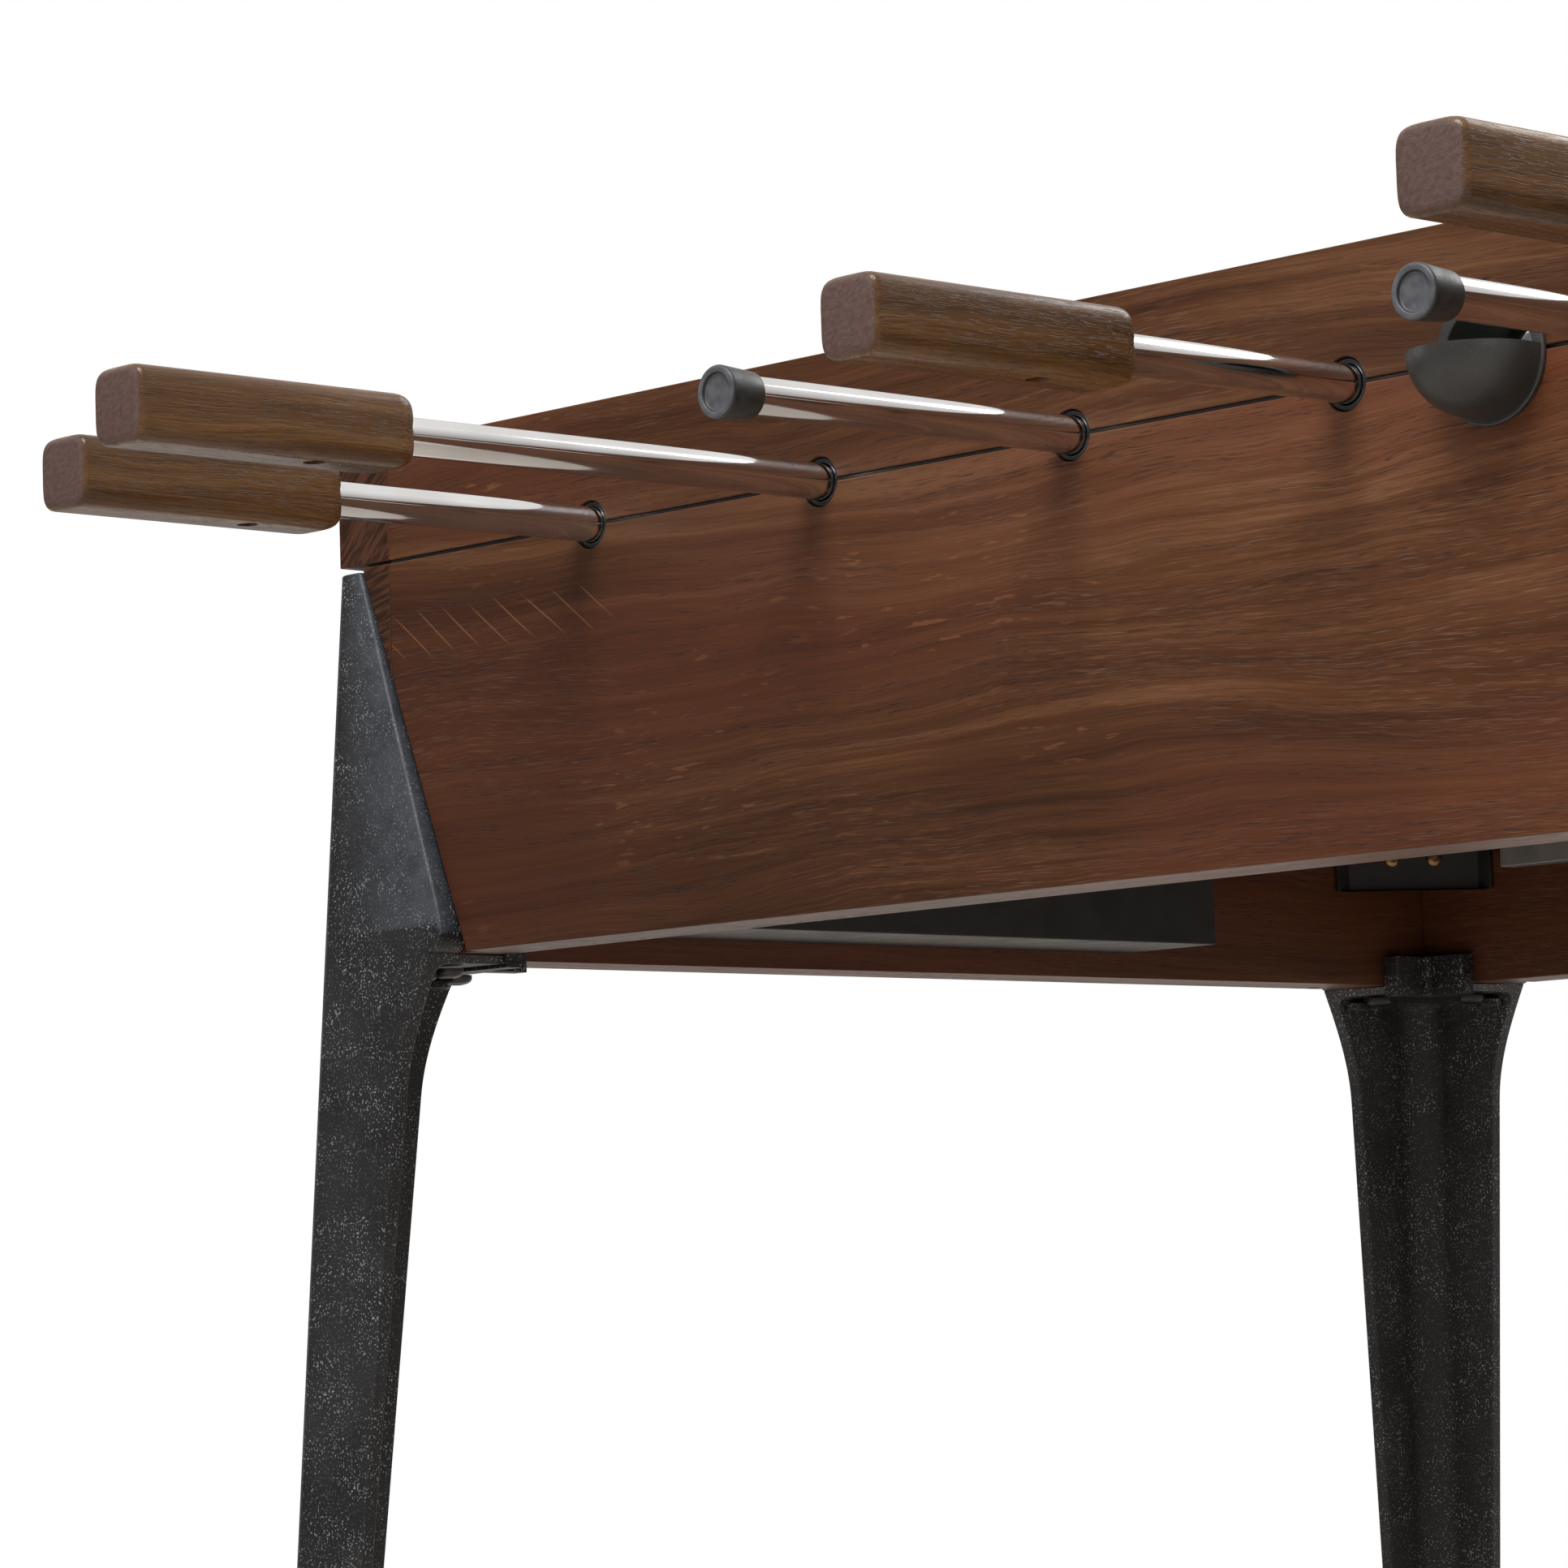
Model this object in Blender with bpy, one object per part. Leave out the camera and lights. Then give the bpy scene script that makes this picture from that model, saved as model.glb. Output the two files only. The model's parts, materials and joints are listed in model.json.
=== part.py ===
"""Foosball table: an oak cabinet on four splayed cast-iron corner legs, with eight playing rods.

Frame: metres, +Z up, the origin on the floor under the middle of the table. X runs along the
table, Y along the rods. The rod axes lie in the seam between the rim and the box below it.
"""

import math

import bmesh
import bpy

# Driving dimensions: the cabinet.
TABLE_LENGTH = 1.406  # over the end boards
TABLE_WIDTH = 0.780  # over the long boards
AXIS_HEIGHT = 0.844  # rod axes and seam, above the floor
RIM_HEIGHT = 0.056  # rim top above the rod axes
PANEL_HEIGHT = 0.187  # lower panels below the rod axes
BOARD = 0.036  # thickness of every cabinet board
SEAM = 0.0016  # slot between rim and box, filled by the bearing strips
FIT = 0.0003  # gap between pieces that touch

# The playing field.
GOAL_ROOM = 0.067  # between each end of the field and the end board
FIELD_DEPTH = 0.080  # field surface below the rod axes
FIELD_THICKNESS = 0.018
GROOVE = 0.008  # how far the field's edges go into the long panels
BATTEN_WIDTH = 0.012
BATTEN_DEPTH = 0.028  # under the field board, along both long edges

# The goals.
SHEET = 0.003
GOAL_WIDTH = 0.200
GOAL_HEIGHT = 0.075
GOAL_TOP = 0.030  # top of the goal unit above the rod axes
TROUGH_HEIGHT = 0.076  # below the underside of the field board
TROUGH_SHORT = 0.107  # trough end nearest the middle
TROUGH_SIDE_GAP = 0.054  # from the end with the ball outlet to the long panel
OUTLET_WIDTH = 0.060
OUTLET_LIP = 0.010
OUTLET_HEAD = 0.021  # wall left above the outlet

# The rods and what is on them.
ROD_END_GAP = 0.075  # from each end of the field to the nearest rod
ROD_RADIUS = 0.008
ROD_CHAMFER = 0.001
MEN_ON_ROD = (1, 2, 3, 5, 5, 3, 2, 1)
MEN_PITCH = {1: 0.0, 2: 0.240, 3: 0.185, 5: 0.120}
HANDLE_IN_FRONT = (True, True, False, True, False, True, False, False)
# Where each rod stands at rest, away from its player, as a share of its travel to either side.
REST_SHARE = (0.032, -0.054, 0.329, -0.357, 0.437, -0.016, -0.054, 0.032)
HANDLE_LENGTH = 0.141
HANDLE_SIDE = 0.031
HANDLE_CORNER = 0.008
HANDLE_END_FILLET = 0.0035
HANDLE_ROD_FILLET = 0.009  # length of the rounding at the rod end
HANDLE_ROD_INSET = 0.005  # how far that rounding draws the section in
HANDLE_BORE_DEPTH = 0.100
HANDLE_CLEAR = 0.035  # handle to cabinet with the rod pushed right in
CAP_LENGTH = 0.0185
CAP_WALL = 0.0012  # at the mouth
CAP_SPREAD = 0.0014  # how much wider the closed end is
CAP_END_WALL = 0.004
CAP_RECESS = 0.0015
CAP_RIM = 0.003  # round the sunk disc in the cap's end
CAP_EDGE = 0.0013
CAP_CLEAR = 0.012  # cap to cabinet with the rod pulled right out
BUMPER_LENGTH = 0.025
BUMPER_WALL = 0.0057
GOALIE_STOP = 0.200  # collars on the goalies' rods, from the middle of the rod
COLLAR_WIDTH = 0.010
COLLAR_RISE = 0.005  # above the rod
END_PLAY = 0.0005  # bumper to bush at the end of a rod's travel

# The figures: height, half width along the rod and half depth. Legs from the foot, body from the axis.
FOOT_CLEAR = 0.008  # foot to field
MAN_LEGS = ((0.0, 0.0110, 0.0100), (0.014, 0.0110, 0.0115), (0.024, 0.0075, 0.0060))
MAN_BODY = (
    (-0.012, 0.0115, 0.0100),
    (0.010, 0.0145, 0.0115),
    (0.016, 0.0060, 0.0060),
    (0.022, 0.0085, 0.0090),
    (0.034, 0.0060, 0.0065),
)
MAN_CORNER = 0.35  # share of each half side that its chamfered corner takes

# Bearings and ball entries.
BUSH_WALL = 0.0024
BUSH_RECESS = 0.0012
ENTRY_RADIUS = 0.0216  # bore of the ball entry
ENTRY_WALL = 0.002
ENTRY_LINER = 0.0015  # ring of the bearing strip round the ball entry
CUP_STEP = 0.001  # flange edge to the outside of the scoop
CUP_RUN = 0.010  # straight part of the scoop before its round end
CUP_LIP = 0.0015  # scoop's upper edge above the rod axes
CUP_WALL = 0.003
CUP_FLANGE = 0.002
CUP_FLANGE_LAP = 0.0015

# The legs, all measured from the corner of the cabinet below the seam.
LEG_TOP = 0.0025  # top of the leg below the rod axes
LEG_SPLAY = 0.050  # how far the outer corner moves out per metre down, in X and in Y
LEG_PROUD = 0.0006
LEG_TOP_WIDTH = 0.015
LEG_WIDENING = 0.413  # flange width gained per metre down beside the panels
LEG_SHOULDER = 0.024  # height of the rounded shoulder at the panels' lower edge
LEG_SHOULDER_LOSS = 0.0127  # width that the shoulder's rounding takes off
LEG_FLARE_HEIGHT = 0.062
LEG_FOOT_WIDTH = 0.0322
LEG_TAPER = 0.0463  # flange width lost per metre down, below the flare
LEG_REBATE = 0.008  # how deep the flanges lie in the boards
LEG_WALL = 0.008
LEDGE_LAP = 0.008  # how far the ledge under the boards runs on past their inner faces
LEDGE_THICKNESS = 0.0035
LEDGE_ROOT = 0.006  # thickening of the flanges just below the ledge
LEG_LEDGE_DRAFT = 0.0004  # fall of the ledge towards its inner edge
LEG_SLOT = 0.002  # slot between a flange's sloping edge and the panel
LEG_CORNER = 0.005
LEG_INNER_FILLET = 0.018
LEG_SEAT_FILLET = 0.0002  # inner corner beside the boards
TAB_ARM = 0.035
TAB_WALL = 0.010
TAB_HEIGHT = 0.0155
TAB_OVERLAP = 0.006

ROD_SIDES = 12
BUSH_SIDES = 12
BUMPER_SIDES = 12
GRIP_CORNER_STEPS = 2
ENTRY_SIDES = 20
SCOOP_STEPS = 10
SCOOP_TURNS = 5
CUTTER_MARGIN = 0.010

HALF_LENGTH = TABLE_LENGTH / 2
HALF_WIDTH = TABLE_WIDTH / 2
INNER_HALF_LENGTH = HALF_LENGTH - BOARD
INNER_HALF_WIDTH = HALF_WIDTH - BOARD
FIELD_HALF = INNER_HALF_LENGTH - GOAL_ROOM
FIELD_TOP = AXIS_HEIGHT - FIELD_DEPTH
FIELD_BOTTOM = FIELD_TOP - FIELD_THICKNESS
BUSH_RADIUS = ROD_RADIUS + FIT + BUSH_WALL
ENTRY_OUTER = ENTRY_RADIUS + ENTRY_WALL
LINER_OUTER = ENTRY_OUTER + FIT + ENTRY_LINER
ROD_COUNT = len(MEN_ON_ROD)
ROD_PITCH = 2 * (FIELD_HALF - ROD_END_GAP) / (ROD_COUNT - 1)
ROD_X = [ROD_PITCH * (i - (ROD_COUNT - 1) / 2) for i in range(ROD_COUNT)]

for old in list(bpy.data.objects):
    bpy.data.objects.remove(old, do_unlink=True)


def material(name, color, roughness, metallic=0.0):
    made = bpy.data.materials.new(name)
    made.use_nodes = True
    shader = made.node_tree.nodes["Principled BSDF"]
    shader.inputs["Base Color"].default_value = (*color, 1.0)
    shader.inputs["Roughness"].default_value = roughness
    shader.inputs["Metallic"].default_value = metallic
    return made


OAK = material("fumed_oak", (0.105, 0.050, 0.030), 0.45)
GRIP_OAK = material("grip_oak", (0.150, 0.085, 0.045), 0.40)
CAST_IRON = material("cast_iron", (0.030, 0.031, 0.033), 0.55, 0.6)
CUP_IRON = material("cup_iron", (0.045, 0.046, 0.048), 0.45, 0.7)
CHROME = material("chrome", (0.75, 0.74, 0.73), 0.08, 1.0)
BUSH_BLACK = material("bush_plastic", (0.008, 0.008, 0.009), 0.25)
CAP_RUBBER = material("cap_rubber", (0.050, 0.052, 0.055), 0.65)
BUMPER_RUBBER = material("bumper_rubber", (0.012, 0.012, 0.012), 0.70)
FIELD_LAMINATE = material("field_laminate", (0.040, 0.085, 0.055), 0.50)
GOAL_STEEL = material("goal_steel", (0.012, 0.012, 0.013), 0.50, 0.5)


def place(name, bm, finish, parent=None, smooth=None):
    """Makes the bmesh a named object, with its faces turned out. smooth is the sharp-edge angle."""
    bmesh.ops.remove_doubles(bm, verts=bm.verts, dist=1e-6)
    bmesh.ops.recalc_face_normals(bm, faces=bm.faces)
    mesh = bpy.data.meshes.new(name)
    bm.to_mesh(mesh)
    bm.free()
    if finish:
        mesh.materials.append(finish)
    if smooth:
        mesh.shade_smooth()
        mesh.set_sharp_from_angle(angle=math.radians(smooth))
    obj = bpy.data.objects.new(name, mesh)
    bpy.context.scene.collection.objects.link(obj)
    obj.parent = parent
    return obj


def helper(name, bm, parent=None):
    """A closed shape that only cuts or joins another piece."""
    obj = place(name, bm, None, parent)
    obj.hide_render = True
    obj.display_type = "WIRE"
    return obj


def combine(obj, other, operation):
    boolean = obj.modifiers.new(other.name, "BOOLEAN")
    boolean.operation = operation
    boolean.solver = "EXACT"
    boolean.object = other


def add_loft(bm, rings, joined=False):
    """A skin over rings of equally many points, closed by a face at each end or joined end to end."""
    loops = [[bm.verts.new(point) for point in ring] for ring in rings]
    count = len(loops[0])
    following = loops[1:] + loops[:1] if joined else loops[1:]
    for near, far in zip(loops, following):
        for i in range(count):
            j = (i + 1) % count
            bm.faces.new((near[i], near[j], far[j], far[i]))
    if not joined:
        bm.faces.new(loops[0])
        bm.faces.new(loops[-1])


def loft(rings, joined=False):
    bm = bmesh.new()
    add_loft(bm, rings, joined)
    return bm


def add_box(bm, low, high):
    corners = [(low[0], low[1]), (high[0], low[1]), (high[0], high[1]), (low[0], high[1])]
    add_loft(bm, [[(x, y, z) for x, y in corners] for z in (low[2], high[2])])


def box(low, high):
    bm = bmesh.new()
    add_box(bm, low, high)
    return bm


def circle(radius, sides):
    angles = [2 * math.pi * i / sides for i in range(sides)]
    return [(radius * math.cos(a), radius * math.sin(a)) for a in angles]


def round_ring(radius, y, sides):
    """A ring of points round the Y axis."""
    return [(x, y, z) for x, z in circle(radius, sides)]


def bore_for(radius, sides):
    """The corner radius of a faceted hole whose flats clear a shaft of this radius."""
    return (radius + FIT) / math.cos(math.pi / sides)


def arc(center, radius, start, end, steps):
    angles = [start + (end - start) * i / steps for i in range(steps + 1)]
    return [(center[0] + radius * math.cos(a), center[1] + radius * math.sin(a)) for a in angles]


def long_side(front, x, y, z):
    """A point given for the front long side, or turned half a turn to the back one."""
    return (x, y, z) if front else (-x, -y, z)


# The cabinet's boards.


def notches():
    """Centre and radius of each half-round notch along the seam, from left to right."""
    found = [(x, BUSH_RADIUS + FIT) for x in ROD_X] + [(0.0, LINER_OUTER + FIT)]
    return sorted(found)


def notched_outline(half, seam_z, far_z):
    """A long board's outline in X and Z, with its notches along the seam edge."""
    upward = far_z > seam_z
    points = [(-half, far_z), (-half, seam_z)]
    for x, radius in notches():
        steps = ENTRY_SIDES // 2 if x == 0.0 else BUSH_SIDES // 2
        sag = math.asin((abs(seam_z - AXIS_HEIGHT)) / radius)
        start = math.pi - sag
        turn = arc((x, AXIS_HEIGHT), radius, start, sag, steps)
        points += turn if upward else [(px, 2 * AXIS_HEIGHT - pz) for px, pz in turn]
    return points + [(half, seam_z), (half, far_z)]


def long_board(name, front, seam_z, far_z):
    outline = notched_outline(INNER_HALF_LENGTH - FIT, seam_z, far_z)
    ends = (-HALF_WIDTH, -INNER_HALF_WIDTH)
    rings = [[long_side(front, x, y, z) for x, z in outline] for y in ends]
    return place(name, loft(rings), OAK)


def end_board(name, side, low_z, high_z):
    xs = sorted((side * HALF_LENGTH, side * INNER_HALF_LENGTH))
    return place(name, box((xs[0], -HALF_WIDTH, low_z), (xs[1], HALF_WIDTH, high_z)), OAK)


SEAM_TOP = AXIS_HEIGHT + SEAM / 2
SEAM_BOTTOM = AXIS_HEIGHT - SEAM / 2
RIM_TOP = AXIS_HEIGHT + RIM_HEIGHT
PANEL_BOTTOM = AXIS_HEIGHT - PANEL_HEIGHT
long_board("rim_front", True, SEAM_TOP, RIM_TOP)
long_board("rim_back", False, SEAM_TOP, RIM_TOP)
end_board("rim_left", -1, SEAM_TOP, RIM_TOP)
end_board("rim_right", 1, SEAM_TOP, RIM_TOP)
panel_front = long_board("panel_front", True, SEAM_BOTTOM, PANEL_BOTTOM)
panel_back = long_board("panel_back", False, SEAM_BOTTOM, PANEL_BOTTOM)
end_left = end_board("end_panel_left", -1, PANEL_BOTTOM, SEAM_BOTTOM)
end_right = end_board("end_panel_right", 1, PANEL_BOTTOM, SEAM_BOTTOM)

# The playing field, held in grooves in the long panels.


def field_outline():
    """The field's section in Y and Z: a board with a batten under each long edge."""
    tongue = INNER_HALF_WIDTH + GROOVE - FIT
    outer = INNER_HALF_WIDTH - FIT
    inner = outer - BATTEN_WIDTH
    low = FIELD_BOTTOM - BATTEN_DEPTH
    half = [(tongue, FIELD_TOP), (tongue, FIELD_BOTTOM), (outer, FIELD_BOTTOM)]
    half += [(outer, low), (inner, low), (inner, FIELD_BOTTOM)]
    return half + [(-y, z) for y, z in reversed(half)]


field_ends = [[(x, y, z) for y, z in field_outline()] for x in (-FIELD_HALF, FIELD_HALF)]
place("playfield", loft(field_ends), FIELD_LAMINATE)
grooves = bmesh.new()
for side in (-1, 1):
    ys = sorted((side * (INNER_HALF_WIDTH + GROOVE), side * (INNER_HALF_WIDTH - CUTTER_MARGIN)))
    add_box(grooves, (-FIELD_HALF - FIT, ys[0], FIELD_BOTTOM - FIT),
            (FIELD_HALF + FIT, ys[1], FIELD_TOP + FIT))
groove_cutter = helper("field_grooves", grooves)
combine(panel_front, groove_cutter, "DIFFERENCE")
combine(panel_back, groove_cutter, "DIFFERENCE")


# The goals: a folded steel unit behind each end of the field, with a ball trough below it.


def goal_unit(name, side):
    """Built for the left end; the right one is turned half a turn."""
    back = -INNER_HALF_LENGTH + FIT
    face = -FIELD_HALF - FIT
    wide = INNER_HALF_WIDTH - FIT
    top = AXIS_HEIGHT + GOAL_TOP
    floor = FIELD_BOTTOM - TROUGH_HEIGHT
    far_end = -INNER_HALF_WIDTH + TROUGH_SIDE_GAP
    outer = bmesh.new()
    add_box(outer, (back, -wide, FIELD_BOTTOM), (face, wide, top))
    trough = bmesh.new()
    add_box(trough, (back, far_end, floor), (face, TROUGH_SHORT, FIELD_TOP))
    room = bmesh.new()
    add_box(room, (back + SHEET, -wide + SHEET, FIELD_BOTTOM + SHEET),
            (face - SHEET, wide - SHEET, top - SHEET))
    well = bmesh.new()
    add_box(well, (back + SHEET, far_end + SHEET, floor + SHEET),
            (face - SHEET, TROUGH_SHORT - SHEET, FIELD_TOP))
    mouth = bmesh.new()
    add_box(mouth, (face - 2 * SHEET, -GOAL_WIDTH / 2, FIELD_TOP),
            (face + SHEET, GOAL_WIDTH / 2, FIELD_TOP + GOAL_HEIGHT))
    outlet = bmesh.new()
    add_box(outlet, (face - 2 * SHEET, far_end + OUTLET_LIP, floor + OUTLET_LIP),
            (face + SHEET, far_end + OUTLET_LIP + OUTLET_WIDTH, FIELD_BOTTOM - OUTLET_HEAD))
    pieces = [outer, trough, room, well, mouth, outlet]
    if side > 0:
        for bm in pieces:
            for vert in bm.verts:
                vert.co.x, vert.co.y = -vert.co.x, -vert.co.y
    unit = place(name, outer, GOAL_STEEL)
    combine(unit, helper(name + "_trough", trough), "UNION")
    for label, bm in (("room", room), ("well", well), ("mouth", mouth), ("outlet", outlet)):
        combine(unit, helper(f"{name}_{label}", bm), "DIFFERENCE")


goal_unit("goal_left", -1)
goal_unit("goal_right", 1)


# The bearing strips: in each seam, a thin web with a bush for each rod and a ring for the ball entry.


def strip_outline():
    half = INNER_HALF_LENGTH - FIT
    web = SEAM / 2 - FIT
    upper = []
    for x, radius in notches():
        steps = ENTRY_SIDES // 2 if x == 0.0 else BUSH_SIDES // 2
        sag = math.asin(web / (radius - FIT))
        upper += arc((x, AXIS_HEIGHT), radius - FIT, math.pi - sag, sag, steps)
    upper = [(-half, AXIS_HEIGHT + web)] + upper + [(half, AXIS_HEIGHT + web)]
    return upper + [(x, 2 * AXIS_HEIGHT - z) for x, z in reversed(upper)]


def bearing_strip(name, front):
    ys = (-HALF_WIDTH + BUSH_RECESS, -INNER_HALF_WIDTH)
    rings = [[long_side(front, x, y, z) for x, z in strip_outline()] for y in ys]
    strip = place(name, loft(rings), BUSH_BLACK, smooth=40)
    bores = bmesh.new()
    cut_ys = (-HALF_WIDTH - CUTTER_MARGIN, -INNER_HALF_WIDTH + CUTTER_MARGIN)
    holes = [(x, bore_for(ROD_RADIUS, ROD_SIDES), ROD_SIDES) for x in ROD_X]
    holes += [(0.0, ENTRY_OUTER + FIT, ENTRY_SIDES)]
    for x, radius, sides in holes:
        ring = [(x + px, AXIS_HEIGHT + pz) for px, pz in circle(radius, sides)]
        add_loft(bores, [[long_side(front, px, y, pz) for px, pz in ring] for y in cut_ys])
    combine(strip, helper(name + "_bores", bores), "DIFFERENCE")


bearing_strip("bearing_strip_front", True)
bearing_strip("bearing_strip_back", False)


# The ball cups: a tube through the board, a flange on its face and below it a scoop that runs
# straight out and ends in a quarter-sphere.


def ball_cup(name, front):
    face = -HALF_WIDTH - FIT
    flange_radius = LINER_OUTER + FIT + CUP_FLANGE_LAP
    sections = ((ENTRY_OUTER, -INNER_HALF_WIDTH), (ENTRY_OUTER, face), (flange_radius, face),
                (flange_radius, face - CUP_FLANGE), (ENTRY_RADIUS, face - CUP_FLANGE),
                (ENTRY_RADIUS, -INNER_HALF_WIDTH))
    tube = []
    for radius, y in sections:
        tube.append([long_side(front, x, y, AXIS_HEIGHT + z) for x, z in circle(radius, ENTRY_SIDES)])
    cup = place(name, loft(tube, joined=True), CUP_IRON, smooth=40)
    center_y = face - CUP_FLANGE / 2
    scoop_radius = flange_radius - CUP_STEP
    outline = arc((0, 0), scoop_radius, math.pi, 2 * math.pi, SCOOP_STEPS)
    outline += arc((0, 0), scoop_radius - CUP_WALL, 2 * math.pi, math.pi, SCOOP_STEPS)
    scoop = bmesh.new()
    rings = []
    lip_z = AXIS_HEIGHT + CUP_LIP
    end_y = center_y - CUP_RUN
    for k in range(SCOOP_TURNS + 1):
        a = math.pi / 2 * k / SCOOP_TURNS
        rings.append([long_side(front, x, end_y + y * math.cos(a), lip_z + y * math.sin(a))
                      for x, y in outline])
    rings.append([long_side(front, x, center_y, lip_z + y) for x, y in outline])
    add_loft(scoop, rings)
    combine(cup, helper(name + "_scoop", scoop), "UNION")


ball_cup("ball_cup_front", True)
ball_cup("ball_cup_back", False)


# The legs. Depths are measured down from the rod axes.


def leg_offset(depth):
    """How far the leg's outer corner stands out from the cabinet's corner, in X and in Y."""
    return LEG_PROUD + LEG_SPLAY * depth


def beside_panel_width(depth):
    return LEG_TOP_WIDTH + LEG_WIDENING * depth


def tapered_width(depth):
    return LEG_FOOT_WIDTH + LEG_TAPER * (AXIS_HEIGHT - depth)


def below_panel(depth):
    """What is left of the flare at this depth: all at the panels' edge, none below the flare."""
    along = (depth - PANEL_HEIGHT - FIT - LEG_LEDGE_DRAFT) / LEG_FLARE_HEIGHT
    return 1 - math.sin(math.pi / 2 * min(1.0, along))


def leg_stations():
    """(depth, flange width, wall, inner fillet) from the top of the leg to the floor."""
    start = PANEL_HEIGHT - LEG_SHOULDER
    crest = PANEL_HEIGHT - LEG_SHOULDER / 8
    shoulder_width = beside_panel_width(PANEL_HEIGHT) - LEG_SHOULDER_LOSS
    seat = LEG_SEAT_FILLET
    stations = [(LEG_TOP, beside_panel_width(LEG_TOP), leg_offset(LEG_TOP) + LEG_REBATE, seat)]
    steps = 4
    for k in range(steps + 1):
        t = k / steps
        first, second, third = (1 - t) ** 2, 2 * t * (1 - t), t**2
        depth = first * start + second * crest + third * PANEL_HEIGHT
        width = first * beside_panel_width(start) + second * beside_panel_width(crest)
        width += third * shoulder_width
        stations.append((depth, width, leg_offset(depth) + LEG_REBATE, seat))
    ledge_top = PANEL_HEIGHT + FIT
    stations.append((ledge_top, shoulder_width, leg_offset(ledge_top) + LEG_REBATE, seat))
    flare = shoulder_width - tapered_width(ledge_top)
    ledge = leg_offset(ledge_top) + BOARD + LEDGE_LAP
    seat_end = ledge_top + LEG_LEDGE_DRAFT
    under = seat_end + LEDGE_THICKNESS
    root_end = under + LEDGE_ROOT
    walls = [(seat_end, ledge), (under, ledge), (under + LEG_LEDGE_DRAFT, LEG_WALL + LEDGE_ROOT)]
    flare_steps = 5
    for k in range(flare_steps + 1):
        walls.append((root_end + (seat_end + LEG_FLARE_HEIGHT - root_end) * k / flare_steps, LEG_WALL))
    for depth, wall in walls:
        width = tapered_width(depth) + flare * below_panel(depth)
        stations.append((depth, width, wall, LEG_INNER_FILLET))
    stations.append((AXIS_HEIGHT, LEG_FOOT_WIDTH, LEG_WALL, LEG_INNER_FILLET))
    return stations


def leg_ring(sx, sy, depth, width, wall, fillet, corner):
    """One L-shaped section of a leg, its arms running inwards from the corner of the cabinet."""
    out = leg_offset(depth)
    fillet = min(fillet, (width - wall) * 0.9)
    points = [(width, 0.0)]
    points += arc((corner, corner), corner, 1.5 * math.pi, math.pi, 2)
    points += [(0.0, width), (wall, width)]
    points += arc((wall + fillet, wall + fillet), fillet, math.pi, 1.5 * math.pi, 3)
    points += [(width, wall)]
    z = AXIS_HEIGHT - depth
    return [(sx * (HALF_LENGTH + out - x), sy * (HALF_WIDTH + out - y), z) for x, y in points]


def leg_cutter(name, sx, sy):
    """The pocket that a leg's flanges need in the boards, with the slot along their sloping edges."""
    rings = []
    for depth in (-CUTTER_MARGIN, PANEL_HEIGHT + CUTTER_MARGIN):
        out = leg_offset(depth)
        width = beside_panel_width(depth) + LEG_SLOT
        rings.append(leg_ring(sx, sy, depth, width, out + LEG_REBATE + FIT, FIT, FIT))
    for ring in rings:
        for i, (x, y, z) in enumerate(ring):
            if abs(x) > HALF_LENGTH:
                x = sx * (HALF_LENGTH + 2 * CUTTER_MARGIN)
            if abs(y) > HALF_WIDTH:
                y = sy * (HALF_WIDTH + 2 * CUTTER_MARGIN)
            ring[i] = (x, y, z)
    return helper(name, loft(rings))


def leg(name, sx, sy, boards):
    rings = [leg_ring(sx, sy, *station, LEG_CORNER) for station in leg_stations()]
    made = place(name, loft(rings), CAST_IRON, smooth=35)
    low = PANEL_BOTTOM - TAB_OVERLAP
    high = PANEL_BOTTOM + TAB_HEIGHT
    near_x, near_y = INNER_HALF_LENGTH - FIT, INNER_HALF_WIDTH - FIT
    outline = [(0, 0), (TAB_ARM, 0), (TAB_ARM, TAB_WALL)]
    outline += [(TAB_WALL, TAB_WALL), (TAB_WALL, TAB_ARM), (0, TAB_ARM)]
    tab = [[(sx * (near_x - x), sy * (near_y - y), z) for x, y in outline] for z in (low, high)]
    combine(made, helper(name + "_tab", loft(tab)), "UNION")
    cutter = leg_cutter(name + "_pocket", sx, sy)
    for board in boards:
        combine(board, cutter, "DIFFERENCE")


leg("leg_front_left", -1, -1, (panel_front, end_left))
leg("leg_front_right", 1, -1, (panel_front, end_right))
leg("leg_back_left", -1, 1, (panel_back, end_left))
leg("leg_back_right", 1, 1, (panel_back, end_right))


# The rods. Each is drawn about its own axis, with its handle towards -Y, and turned to play from the back.
FOOT = FOOT_CLEAR - FIELD_DEPTH
MAN_STATIONS = [(FOOT + rise, *half) for rise, *half in MAN_LEGS] + list(MAN_BODY)
MAN_HALF_WIDTH = max(station[1] for station in MAN_STATIONS)


def stop_face(count):
    """Outer face of the outermost figure or collar, from the middle of the rod."""
    if count == 1:
        return GOALIE_STOP + COLLAR_WIDTH / 2
    return MEN_PITCH[count] * (count - 1) / 2 + MAN_HALF_WIDTH


def half_travel(count):
    return INNER_HALF_WIDTH - END_PLAY - BUMPER_LENGTH - FIT - stop_face(count)


def handle_start(count):
    """Distance from the middle of the rod to the handle's rod end."""
    return HALF_WIDTH + HANDLE_CLEAR + half_travel(count)


def cap_end(count):
    return HALF_WIDTH + CAP_CLEAR + CAP_LENGTH + half_travel(count)


def add_man(bm, y):
    rings = []
    for z, half_width, half_depth in MAN_STATIONS:
        cut_x, cut_y = half_depth * (1 - MAN_CORNER), half_width * (1 - MAN_CORNER)
        quarter = [(half_depth, cut_y), (cut_x, half_width)]
        outline = quarter + [(-px, py) for px, py in reversed(quarter)]
        outline += [(-px, -py) for px, py in quarter]
        outline += [(px, -py) for px, py in reversed(quarter)]
        rings.append([(px, y + py, z) for px, py in outline])
    add_loft(bm, rings)


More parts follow.
